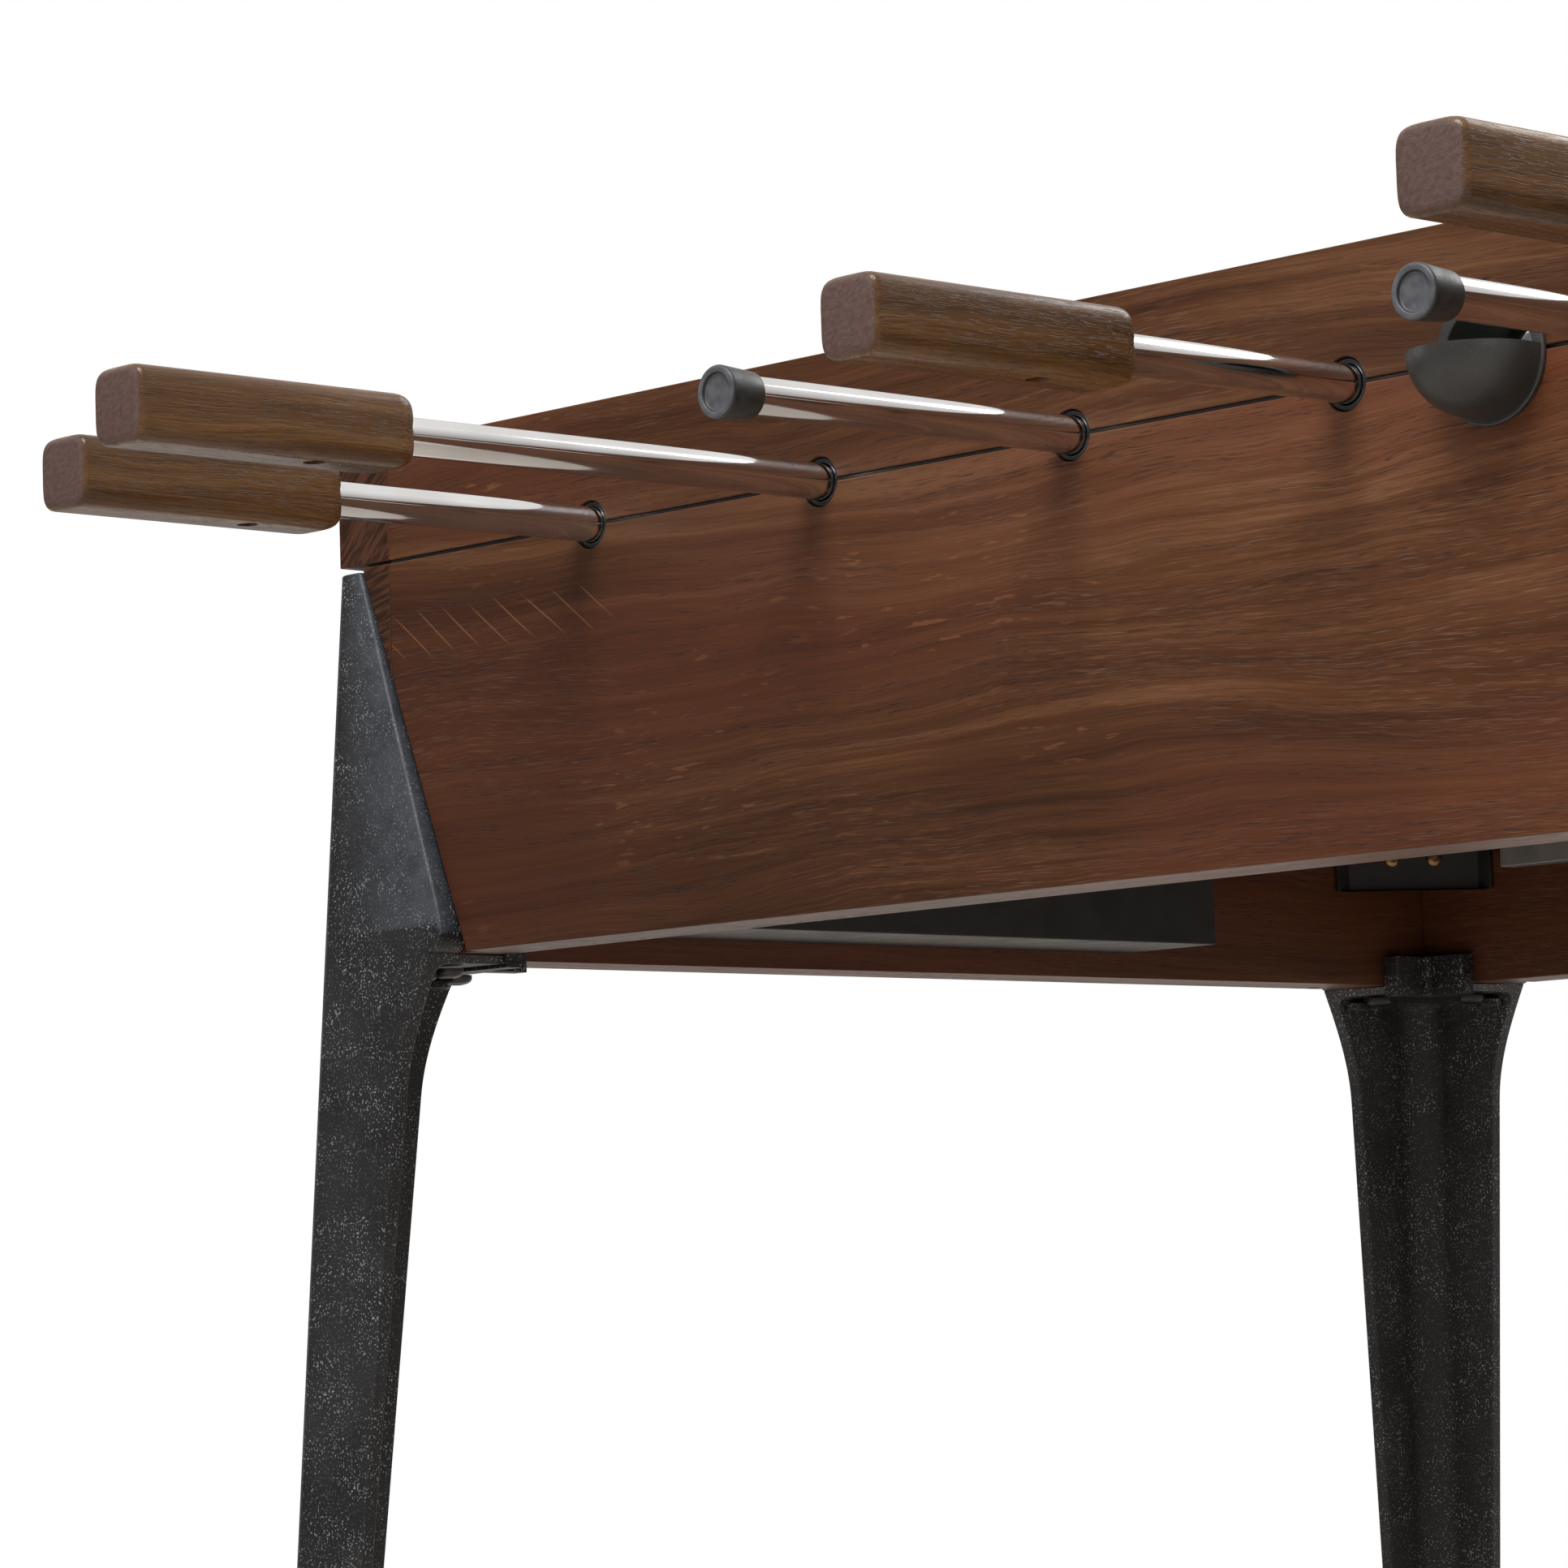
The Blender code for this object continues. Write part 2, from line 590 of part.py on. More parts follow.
def shaft(name, count, axis):
    front = -(handle_start(count) + HANDLE_BORE_DEPTH - FIT)
    back = cap_end(count) - CAP_END_WALL - FIT
    collar = ROD_RADIUS + COLLAR_RISE
    stations = [(ROD_RADIUS - ROD_CHAMFER, front), (ROD_RADIUS, front + ROD_CHAMFER)]
    if count == 1:
        for middle in (-GOALIE_STOP, GOALIE_STOP):
            low, high = middle - COLLAR_WIDTH / 2, middle + COLLAR_WIDTH / 2
            stations += [(ROD_RADIUS, low), (collar, low), (collar, high), (ROD_RADIUS, high)]
    stations += [(ROD_RADIUS, back - ROD_CHAMFER), (ROD_RADIUS - ROD_CHAMFER, back)]
    rod = place(name, loft([round_ring(r, y, ROD_SIDES) for r, y in stations]), CHROME, axis, smooth=35)
    men = bmesh.new()
    for i in range(count):
        add_man(men, MEN_PITCH[count] * (i - (count - 1) / 2))
    combine(rod, helper(name + "_men", men, axis), "UNION")


def grip_ring(inset, y):
    """The handle's rounded-square section, drawn in by inset."""
    half = HANDLE_SIDE / 2 - inset
    radius = max(HANDLE_CORNER - inset, HANDLE_CORNER / 5)
    points = []
    for k in range(4):
        a = math.pi / 2 * k
        cx = (half - radius) * (1 if k in (0, 3) else -1)
        cz = (half - radius) * (1 if k in (0, 1) else -1)
        points += arc((cx, cz), radius, a, a + math.pi / 2, GRIP_CORNER_STEPS)
    return [(x, y, z) for x, z in points]


def handle(name, count, axis):
    near = -handle_start(count)
    far = near - HANDLE_LENGTH
    sides = 4 * (GRIP_CORNER_STEPS + 1)
    bore = bore_for(ROD_RADIUS, sides)
    rings = [grip_ring(HANDLE_END_FILLET, far)]
    rings += [grip_ring(HANDLE_END_FILLET * (1 - math.sin(math.pi / 4)),
                        far + HANDLE_END_FILLET * (1 - math.cos(math.pi / 4)))]
    rings += [grip_ring(0.0, far + HANDLE_END_FILLET)]
    fillet_steps = 3
    for k in range(fillet_steps + 1):
        a = math.pi / 2 * k / fillet_steps
        inset = HANDLE_ROD_INSET * (1 - math.cos(a))
        rings.append(grip_ring(inset, near - HANDLE_ROD_FILLET * (1 - math.sin(a))))
    for y in (near, near - HANDLE_BORE_DEPTH):
        rings.append(round_ring(bore, y, sides))
    place(name, loft(rings), GRIP_OAK, axis, smooth=40)


def cap(name, count, axis):
    end = cap_end(count)
    mouth = end - CAP_LENGTH
    mouth_radius = ROD_RADIUS + FIT + CAP_WALL
    end_radius = mouth_radius + CAP_SPREAD
    disc = end_radius - CAP_RIM
    bore = bore_for(ROD_RADIUS, ROD_SIDES)
    stations = [(disc - CAP_RECESS / 2, end - CAP_RECESS), (disc, end), (end_radius - CAP_EDGE, end),
                (end_radius, end - CAP_EDGE), (mouth_radius, mouth), (bore, mouth),
                (bore, end - CAP_END_WALL)]
    place(name, loft([round_ring(r, y, ROD_SIDES) for r, y in stations]), CAP_RUBBER, axis, smooth=40)


def bumper(name, middle_side, count, axis):
    """A rubber sleeve between the outermost stop and the cabinet wall."""
    sides = BUMPER_SIDES
    near = stop_face(count) + FIT
    far = near + BUMPER_LENGTH
    bore = bore_for(ROD_RADIUS, sides)
    outer = ROD_RADIUS + FIT + BUMPER_WALL
    sections = ((bore, near), (outer, near), (outer, far), (bore, far))
    rings = [round_ring(r, middle_side * y, sides) for r, y in sections]
    place(name, loft(rings, joined=True), BUMPER_RUBBER, axis, smooth=40)


for index, count in enumerate(MEN_ON_ROD):
    label = f"rod_{index + 1}"
    in_front = HANDLE_IN_FRONT[index]
    axis = bpy.data.objects.new(label + "_axis", None)
    bpy.context.scene.collection.objects.link(axis)
    shift = REST_SHARE[index] * half_travel(count) * (1 if in_front else -1)
    axis.location = (ROD_X[index], shift, AXIS_HEIGHT)
    axis.rotation_euler = (0.0, 0.0, 0.0 if in_front else math.pi)
    shaft(label + "_shaft", count, axis)
    handle(label + "_handle", count, axis)
    cap(label + "_cap", count, axis)
    bumper(label + "_bumper_handle_side", -1, count, axis)
    bumper(label + "_bumper_cap_side", 1, count, axis)
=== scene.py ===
"""The looks of the foosball table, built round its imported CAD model. Metres, +Z up.

Each piece is drawn where its CAD node is. Sizes come from the nodes' boxes and from the joints, and
the few design sizes that a box can't give are repeated here by name.
"""

import json
import math

import bmesh
import bpy
from mathutils import Matrix, Vector


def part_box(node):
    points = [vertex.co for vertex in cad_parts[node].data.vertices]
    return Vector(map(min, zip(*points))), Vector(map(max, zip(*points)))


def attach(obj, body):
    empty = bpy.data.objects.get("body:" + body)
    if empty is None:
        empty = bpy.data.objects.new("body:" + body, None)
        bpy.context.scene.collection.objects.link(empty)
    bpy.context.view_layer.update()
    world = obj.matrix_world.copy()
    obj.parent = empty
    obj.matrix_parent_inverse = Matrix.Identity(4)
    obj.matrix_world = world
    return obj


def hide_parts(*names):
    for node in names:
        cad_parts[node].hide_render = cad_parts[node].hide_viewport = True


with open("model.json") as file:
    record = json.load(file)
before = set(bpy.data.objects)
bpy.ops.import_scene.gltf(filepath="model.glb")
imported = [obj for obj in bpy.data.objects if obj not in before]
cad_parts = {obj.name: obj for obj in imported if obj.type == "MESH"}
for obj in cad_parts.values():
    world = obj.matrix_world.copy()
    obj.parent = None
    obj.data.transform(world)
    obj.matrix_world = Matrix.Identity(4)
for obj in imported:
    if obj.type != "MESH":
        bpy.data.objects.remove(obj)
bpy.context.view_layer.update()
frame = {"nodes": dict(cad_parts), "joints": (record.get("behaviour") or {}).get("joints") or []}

# Sizes from the frame.
JOINTS = {joint["name"]: joint for joint in frame["joints"]}
AXIS = JOINTS["rod_1_spin"]["pos_m"][2]
RODS = range(1, 9)
CORNERS = (("front_left", -1, -1), ("front_right", 1, -1), ("back_left", -1, 1), ("back_right", 1, 1))
ROD_X = [JOINTS[f"rod_{n}_spin"]["pos_m"][0] for n in RODS]
ROD_Y = [JOINTS[f"rod_{n}_spin"]["pos_m"][1] for n in RODS]
RIM_LOW, RIM_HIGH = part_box("rim_left")
FIELD_LOW, FIELD_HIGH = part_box("playfield")
HALF_LENGTH = -RIM_LOW.x
HALF_WIDTH = -RIM_LOW.y
INNER_HALF_LENGTH = -RIM_HIGH.x
INNER_HALF_WIDTH = -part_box("panel_front")[1].y
PANEL_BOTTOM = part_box("end_panel_left")[0].z
PANEL_HEIGHT = AXIS - PANEL_BOTTOM

# Design sizes repeated from the CAD source.
FIT = 0.0003
FIELD_THICKNESS = 0.018
BATTEN_WIDTH = 0.012
GROOVE_DEPTH = 0.008
ROD_RADIUS = 0.008
BUSH_RADIUS = 0.0107
BUSH_RECESS = 0.0012
ENTRY_RADIUS = 0.0216
ENTRY_OUTER = 0.0236
LINER_OUTER = 0.0254
FLANGE_RADIUS = 0.0272
FLANGE_THICKNESS = 0.002
SCOOP_RADIUS = 0.0262
SCOOP_WALL = 0.003
SCOOP_RUN = 0.010
SCOOP_LIP = 0.0015
HANDLE_LENGTH = 0.141
HANDLE_SIDE = 0.031
HANDLE_BORE = 0.100
CAP_LENGTH = 0.0185
CAP_WALL = 0.0012
CAP_SPREAD = 0.0014
CAP_END_WALL = 0.004
BUMPER_LENGTH = 0.025
BUMPER_WALL = 0.0057
GOALIE_STOP = 0.200
COLLAR_WIDTH = 0.010
COLLAR_RISE = 0.005
MEN_ON_ROD = (1, 2, 3, 5, 5, 3, 2, 1)
MEN_PITCH = {1: 0.0, 2: 0.240, 3: 0.185, 5: 0.120}
LEG_TOP = 0.0025
LEG_SPLAY = 0.050
LEG_PROUD = 0.0006
LEG_TOP_WIDTH = 0.015
LEG_WIDENING = 0.413
LEG_SHOULDER = 0.024
LEG_SHOULDER_LOSS = 0.0127
LEG_FLARE_HEIGHT = 0.062
LEG_FOOT_WIDTH = 0.0322
LEG_TAPER = 0.0463
LEG_REBATE = 0.008
LEG_WALL = 0.008
LEDGE_LAP = 0.008
LEDGE_DRAFT = 0.0004
LEDGE_THICKNESS = 0.0035
LEDGE_ROOT = 0.006
LEG_SLOT = 0.002
LEG_CORNER = 0.005
LEG_FILLET = 0.018
TAB_ARM = 0.035
TAB_WALL = 0.010
TAB_HEIGHT = 0.0155
TAB_OVERLAP = 0.006
BOARD = HALF_LENGTH - INNER_HALF_LENGTH
FIELD_BOTTOM = FIELD_HIGH.z - FIELD_THICKNESS

# Sizes of what only the looks have.
EDGE = 0.0006  # rounding of the boards' edges
GRIP_SQUARENESS = 4.8  # power of the handle's superellipse
PAD_RADIUS = 0.008  # half-round bolt pads inside the legs' flanges
PAD_GAP = 0.0025  # ledge to pad
PAD_HEIGHT = 0.005
ENTRY_LIP = 0.0035  # how far the ball entry narrows at its inner end
ENTRY_LIP_LENGTH = 0.002
RAIL_HEIGHT = 0.011
BRACE_REACH = 0.052  # along the long wall
BRACE_REACH_FREE = 0.073  # along the end wall where there is room
BRACE_REACH_TIGHT = 0.049  # beside a ball trough
BRACE_SHEET = 0.0025
BRACE_LOW = 0.136  # below the rod axes
SCREW_FROM_ROD_END = 0.046
BOLT_ALONG = 0.052
BOLT_IN = 0.016
END_BOLT_HOLE = (0.695, 0.292)
SHAFT_SINK = 0.0005  # from a bar's end to the bottom of its bore
SCREW_ASIDE = 0.004  # the handle screw, off the handle's middle
SOCKET_DEPTH = 0.0126  # the screw's face, below the rod's axis

link = bpy.context.scene.collection.objects.link


# Materials.


class Nodes:
    """A node tree, built a node at a time. A value is a constant or another node's socket."""

    def __init__(self, tree):
        self.tree = tree

    def add(self, kind, inputs, **settings):
        node = self.tree.nodes.new(kind)
        for key, value in settings.items():
            setattr(node, key, value)
        for key, value in inputs.items():
            if isinstance(value, bpy.types.NodeSocket):
                self.tree.links.new(value, node.inputs[key])
            else:
                node.inputs[key].default_value = value
        return node

    def vector(self, operation, a, b):
        return self.add("ShaderNodeVectorMath", {0: a, 1: b}, operation=operation).outputs[0]

    def math(self, operation, a, b=0.0):
        return self.add("ShaderNodeMath", {0: a, 1: b}, operation=operation).outputs[0]

    def plus(self, a, b):
        return self.math("ADD", a, b)

    def minus(self, a, b):
        return self.math("SUBTRACT", a, b)

    def times(self, a, b):
        return self.math("MULTIPLY", a, b)

    def absolute(self, a):
        return self.math("ABSOLUTE", a)

    def parts(self, vector):
        split = self.add("ShaderNodeSeparateXYZ", {"Vector": vector})
        return split.outputs[0], split.outputs[1], split.outputs[2]

    def ramp(self, value, low, high, to_low=0.0, to_high=1.0):
        inputs = {"Value": value, "From Min": low, "From Max": high, "To Min": to_low}
        inputs["To Max"] = to_high
        return self.add("ShaderNodeMapRange", inputs, interpolation_type="SMOOTHSTEP").outputs[0]


class Shader(Nodes):
    """A material's node tree. Places are read in millimetres, in the piece's own space."""

    def __init__(self, name, **constants):
        self.material = bpy.data.materials.new(name)
        self.material.use_nodes = True
        super().__init__(self.material.node_tree)
        self.surface = self.tree.nodes["Principled BSDF"]
        for socket, value in constants.items():
            self.surface.inputs[socket.replace("_", " ")].default_value = value

    def set(self, socket, value):
        self.tree.links.new(value, self.surface.inputs[socket])

    def place(self, grain="X", cut=0.0, random_offset=False):
        """The place as (along the grain, across the rings, along the rings), in millimetres."""
        coords = self.add("ShaderNodeTexCoord", {}).outputs["Object"]
        if random_offset:
            chance = self.add("ShaderNodeObjectInfo", {}).outputs["Random"]
            shift = self.add("ShaderNodeCombineXYZ", {"X": chance, "Y": chance, "Z": chance})
            coords = self.vector("ADD", coords, shift.outputs[0])
        turn = (0.0, 0.0, 0.0) if grain == "X" else (0.0, 0.0, -math.pi / 2)
        turned = self.add("ShaderNodeMapping", {"Vector": coords, "Rotation": turn}).outputs[0]
        inputs = {"Vector": turned, "Rotation": (cut, 0.0, 0.0), "Scale": (1000.0,) * 3}
        return self.add("ShaderNodeMapping", inputs).outputs[0]

    def facing(self, axis, low, high):
        """How far a face looks along an axis, to either side."""
        normal = self.add("ShaderNodeTexCoord", {}).outputs["Normal"]
        return self.ramp(self.absolute(self.parts(normal)[axis]), low, high)

    def mix(self, share, a, b):
        """Colours a and b, given as (r, g, b) or as sockets."""
        inputs = {0: share}
        for key, value in ((6, a), (7, b)):
            inputs[key] = value if isinstance(value, bpy.types.NodeSocket) else (*value, 1.0)
        return self.add("ShaderNodeMix", inputs, data_type="RGBA", blend_type="MIX").outputs[2]

    def over(self, color, mask, strength, other):
        """The colour with another laid over it where the mask is."""
        return self.mix(self.times(mask, strength), color, other)

    def noise(self, place, stretch, seed, detail=2.0, roughness=0.5, distortion=0.0):
        """Noise with so many cycles per millimetre along each axis."""
        scale = stretch if isinstance(stretch, tuple) else (stretch,) * 3
        inputs = {"Vector": place, "Location": (seed, seed * 1.7, seed * 2.3), "Scale": scale}
        moved = self.add("ShaderNodeMapping", inputs).outputs[0]
        inputs = {"Vector": moved, "Scale": 1.0, "Detail": detail, "Roughness": roughness}
        inputs["Distortion"] = distortion
        return self.add("ShaderNodeTexNoise", inputs).outputs["Fac"]

    def done(self, color, roughness, height=None, distance=0.0, strength=1.0):
        """The material, with its colour, its roughness and any bump linked up."""
        self.set("Base Color", color)
        self.set("Roughness", roughness)
        if height:
            inputs = {"Height": height, "Distance": distance, "Strength": strength}
            self.set("Normal", self.add("ShaderNodeBump", inputs).outputs[0])
        return self.material


def oak(name, grain, cut, seed, flecks=None):
    """Dark brown oiled oak. flecks is the (lowest, highest) X in mm of a row of slanting ray flecks.

    A board with flecks also gets painted light: its colour grows paler towards +X.
    """
    made = Shader(name, IOR=1.45, Specular_IOR_Level=0.26)
    place = made.place(grain, cut)
    sway = made.noise(place, (0.0022, 0.004, 0.006), seed, 2.0)
    ripple = made.noise(place, (0.011, 0.010, 0.020), seed + 3.1, 2.0)
    lift = made.plus(made.times(sway, 60.0), made.times(ripple, 9.0))
    shift = made.add("ShaderNodeCombineXYZ", {"Z": lift}).outputs[0]
    wavy = made.vector("ADD", place, shift)
    bands = made.noise(wavy, (0.0016, 0.012, 0.026), seed + 5.3, 3.0, 0.55)
    lines = made.noise(wavy, (0.0035, 0.06, 0.17), seed + 8.9, 3.0, 0.6)
    fine = made.noise(wavy, (0.020, 0.5, 1.1), seed + 12.7, 2.0, 0.6)
    tone = made.plus(made.times(bands, 0.50), made.times(lines, 0.34))
    tone = made.plus(tone, made.times(fine, 0.16))
    color = made.mix(made.ramp(tone, 0.34, 0.53), (0.030, 0.0102, 0.0038), (0.074, 0.0268, 0.0100))
    color = made.mix(made.ramp(tone, 0.49, 0.66), color, (0.140, 0.0600, 0.0262))
    red = made.ramp(made.noise(place, (0.003, 0.006, 0.009), seed + 20.3, 1.0), 0.42, 0.66, 0.0, 0.55)
    color = made.mix(red, color, (0.092, 0.0265, 0.0125))
    rows = made.ramp(made.noise(wavy, (0.004, 0.05, 0.09), seed + 15.1, 2.0), 0.36, 0.62)
    dashes = made.noise(wavy, (0.075, 1.1, 1.7), seed + 17.9, 1.0, 0.5)
    pores = made.times(made.ramp(dashes, 0.58, 0.67), rows)
    color = made.over(color, pores, 0.62, (0.020, 0.0075, 0.0045))
    dust = made.noise(wavy, (0.060, 1.7, 2.7), seed + 23.3, 1.0, 0.5)
    dusty = made.ramp(made.noise(place, (0.004, 0.010, 0.014), seed + 25.9, 2.0), 0.44, 0.66)
    light = made.times(made.ramp(dust, 0.60, 0.68), dusty)
    color = made.over(color, light, 0.30, (0.205, 0.130, 0.085))
    spots = made.noise(wavy, (0.060, 0.08, 0.40), seed + 29.9, 2.0, 0.5, 0.3)
    rare = made.ramp(made.noise(place, (0.006, 0.010, 0.013), seed + 33.7, 1.0), 0.50, 0.68)
    rays = made.times(made.ramp(spots, 0.63, 0.70), rare)
    color = made.over(color, rays, 0.42, (0.210, 0.090, 0.036))
    if flecks:
        # Painted light: the colour is scaled up towards +X, standing in for light falling stronger on
        # the right.
        painted_light_scale = {0: color, "Scale": made.ramp(made.parts(place)[0], -600.0, 150.0, 0.80, 1.38)}
        color = made.add("ShaderNodeVectorMath", painted_light_scale, operation="SCALE").outputs[0]
        color = made.over(color, fleck_row(made, place, *flecks), 0.60, (0.215, 0.095, 0.036))
    facing = made.facing(0 if grain == "X" else 1, 0.80, 0.97)
    rings = made.noise(place, (0.0, 0.05, 0.42), seed + 41.0, 2.0, 0.6, 0.4)
    end_color = made.mix(made.ramp(rings, 0.38, 0.62), (0.024, 0.0088, 0.0046), (0.072, 0.0265, 0.0125))
    color = made.mix(facing, color, end_color)
    roughness = made.ramp(made.plus(fine, pores), 0.3, 1.2, 0.36, 0.62)
    return made.done(color, roughness, made.minus(made.times(fine, 0.35), pores), 0.00018, 0.55)


def fleck_row(made, place, low, high):
    """Straight, thin, slanting ray flecks side by side, in a band that lies just below the seam."""
    spacing, slant, band = 19.0, 1.3, 37.0
    x, _, z = made.parts(place)
    uneven = made.times(made.noise(place, (0.012, 0.0, 0.0), 51.0, 1.0), 22.0)
    slanted = made.plus(made.plus(x, made.times(z, slant)), uneven)
    step = made.math("FRACT", made.math("DIVIDE", slanted, spacing))
    line = made.ramp(made.absolute(made.minus(step, 0.5)), 0.012, 0.048, 1.0, 0.0)
    reach = made.times(made.noise(place, (0.04, 0.0, 0.0), 57.0, 1.0), 8.0)
    depth = made.absolute(made.minus(z, AXIS * 1000 - band))
    across = made.ramp(made.plus(depth, reach), 8.0, 17.0, 1.0, 0.0)
    length = made.absolute(made.minus(x, (low + high) / 2))
    along = made.ramp(length, (high - low) * 0.36, (high - low) * 0.52, 1.0, 0.0)
    return made.times(line, made.times(across, along))


def grip_oak():
    """Olive-brown oak with its grain along the handle and greyer end grain."""
    made = Shader("grip_oak_look", IOR=1.45, Specular_IOR_Level=0.38)
    place = made.place("Y", 0.5, random_offset=True)
    sway = made.noise(place, (0.006, 0.02, 0.03), 2.0, 2.0)
    shift = made.add("ShaderNodeCombineXYZ", {"Z": made.times(sway, 14.0)}).outputs[0]
    wavy = made.vector("ADD", place, shift)
    bands = made.noise(wavy, (0.005, 0.07, 0.13), 5.0, 3.0, 0.6)
    fine = made.noise(wavy, (0.022, 0.7, 1.5), 9.0, 2.0, 0.65)
    tone = made.plus(made.times(bands, 0.62), made.times(fine, 0.38))
    color = made.mix(made.ramp(tone, 0.34, 0.54), (0.044, 0.0192, 0.0064), (0.096, 0.0435, 0.0148))
    color = made.mix(made.ramp(tone, 0.50, 0.68), color, (0.160, 0.0800, 0.0300))
    dashes = made.noise(wavy, (0.10, 1.6, 2.4), 13.0, 1.0)
    pores = made.ramp(dashes, 0.56, 0.66)
    color = made.over(color, pores, 0.55, (0.035, 0.0185, 0.0095))
    rings = made.ramp(made.noise(wavy, (0.0, 0.30, 0.62), 19.0, 3.0, 0.7), 0.3, 0.7)
    end_color = made.mix(rings, (0.084, 0.0480, 0.0410), (0.124, 0.0760, 0.0670))
    color = made.mix(made.facing(1, 0.72, 0.98), color, end_color)
    roughness = made.ramp(made.plus(fine, pores), 0.3, 1.3, 0.20, 0.38)
    return made.done(color, roughness, made.minus(made.times(fine, 0.4), pores), 0.00012, 0.5)


def cast_iron(name, base, speckle, roughness, metallic=0.35, highlight_edges=False):
    """Dark cast iron with a pitted skin and pale specks. Marked edges get a lighter blue-grey: a
    painted highlight, broken up in patches.
    """
    made = Shader(name, Metallic=metallic, Specular_IOR_Level=0.35)
    place = made.place()
    cloud = made.noise(place, 0.018, 3.0, 3.0, 0.6)
    grain = made.noise(place, 0.55, 7.0, 2.0, 0.6)
    color = made.mix(made.ramp(cloud, 0.35, 0.65), [c * 0.80 for c in base], [c * 1.25 for c in base])
    specks = made.ramp(made.noise(place, 1.0, 11.0, 1.0), 0.61, 0.69)
    patches = made.ramp(made.noise(place, 0.05, 17.0, 2.0), 0.36, 0.60, 0.25, 1.0)
    color = made.over(color, made.times(specks, patches), speckle, (0.34, 0.35, 0.37))
    # Painted highlight: a patchy blue-grey laid along the edges marked in the mesh.
    if highlight_edges:
        edge = made.add("ShaderNodeAttribute", {}, attribute_name="wear").outputs["Fac"]
        patchiness = made.ramp(made.noise(place, 0.09, 23.0, 3.0, 0.7), 0.25, 0.65, 0.45, 1.0)
        color = made.over(color, edge, made.times(patchiness, 0.70), (0.085, 0.094, 0.112))
    pits = made.plus(made.times(grain, 0.7), made.noise(place, 0.16, 29.0, 2.0))
    roughness = made.ramp(cloud, 0.3, 0.7, roughness - 0.05, roughness + 0.07)
    return made.done(color, roughness, pits, 0.00030, 0.45)


def chrome():
    """Polished chrome plate with faint drawing marks."""
    made = Shader("chrome_look", Metallic=1.0)
    place = made.place("Y")
    marks = made.noise(place, (0.012, 1.6, 1.6), 4.0, 2.0, 0.6)
    smear = made.noise(place, 0.02, 8.0, 2.0)
    color = made.mix(made.ramp(smear, 0.35, 0.65), (0.70, 0.68, 0.665), (0.78, 0.765, 0.75))
    return made.done(color, made.ramp(marks, 0.3, 0.7, 0.05, 0.13))


def moulded(name, color, roughness, spread=0.08, texture=0.4, depth=0.00012, metallic=0.0):
    """A moulded or painted skin: a fine grain, slight mottling and uneven gloss."""
    made = Shader(name, Metallic=metallic)
    place = made.place()
    cloud = made.noise(place, 0.05, 6.0, 3.0, 0.6)
    grain = made.noise(place, texture, 15.0, 2.0, 0.55)
    darker, lighter = [c * 0.86 for c in color], [c * 1.16 for c in color]
    color = made.mix(made.ramp(cloud, 0.32, 0.68), darker, lighter)
    roughness = made.ramp(cloud, 0.3, 0.7, roughness - spread / 2, roughness + spread / 2)
    return made.done(color, roughness, grain, depth, 0.35)


def cap_rubber():
    """Dark grey rubber, with the end disc painted paler and bluish: painted light on the ends."""
    made = Shader("cap_rubber_look", Specular_IOR_Level=0.45)
    place = made.place()
    cloud = made.noise(place, 0.16, 6.0, 3.0, 0.6)
    grain = made.noise(place, 0.9, 15.0, 2.0, 0.55)
    # The end disc's paler, bluish colour is painted light, a painted sheen on the faces that look along
    # the rod.
    end_color = made.mix(made.ramp(cloud, 0.3, 0.7), (0.060, 0.062, 0.070), (0.100, 0.103, 0.115))
    side_color = made.mix(made.ramp(cloud, 0.3, 0.7), (0.015, 0.0148, 0.0142), (0.024, 0.0235, 0.022))
    color = made.mix(made.facing(1, 0.55, 0.97), side_color, end_color)
    roughness = made.ramp(cloud, 0.3, 0.7, 0.38, 0.52)
    return made.done(color, roughness, grain, 0.00008, 0.35)


def laminate():
    """The field's green laminate, with a faint fibre in it."""
    made = Shader("field_laminate_look", Specular_IOR_Level=0.4)
    place = made.place()
    cloud = made.noise(place, 0.006, 3.0, 3.0, 0.6)
    fibre = made.noise(place, (0.25, 0.9, 0.9), 9.0, 2.0, 0.6)
    color = made.mix(made.ramp(cloud, 0.3, 0.7), (0.030, 0.066, 0.042), (0.040, 0.086, 0.055))
    color = made.mix(made.ramp(fibre, 0.40, 0.70, 0.0, 0.30), color, (0.070, 0.120, 0.082))
    return made.done(color, made.ramp(fibre, 0.3, 0.7, 0.42, 0.55), fibre, 0.00008, 0.3)


def ply():
    """The plain wood of the field board's underside and edges."""
    made = Shader("field_ply_look")
    place = made.place("X")
    layers = made.noise(place, (0.004, 0.05, 0.55), 6.0, 2.0, 0.6)
    color = made.mix(made.ramp(layers, 0.35, 0.65), (0.034, 0.020, 0.013), (0.060, 0.036, 0.023))
    return made.done(color, made.ramp(layers, 0.3, 0.7, 0.55, 0.70), layers, 0.0001, 0.3)


def paper_floor():
    """A pale floor that thins out to the white surroundings, and throws back a dimmer, warmer light."""
    made = Shader("studio_floor", Roughness=0.75)
    seen = made.add("ShaderNodeLightPath", {}).outputs["Is Camera Ray"]
    made.set("Base Color", made.mix(seen, (0.64, 0.58, 0.52), (0.86, 0.86, 0.86)))
    coords = made.add("ShaderNodeTexCoord", {}).outputs["Object"]
    distance = made.add("ShaderNodeVectorMath", {0: coords}, operation="LENGTH").outputs["Value"]
    made.set("Alpha", made.ramp(distance, 2.2, 5.8, 1.0, 0.0))
    return made.material


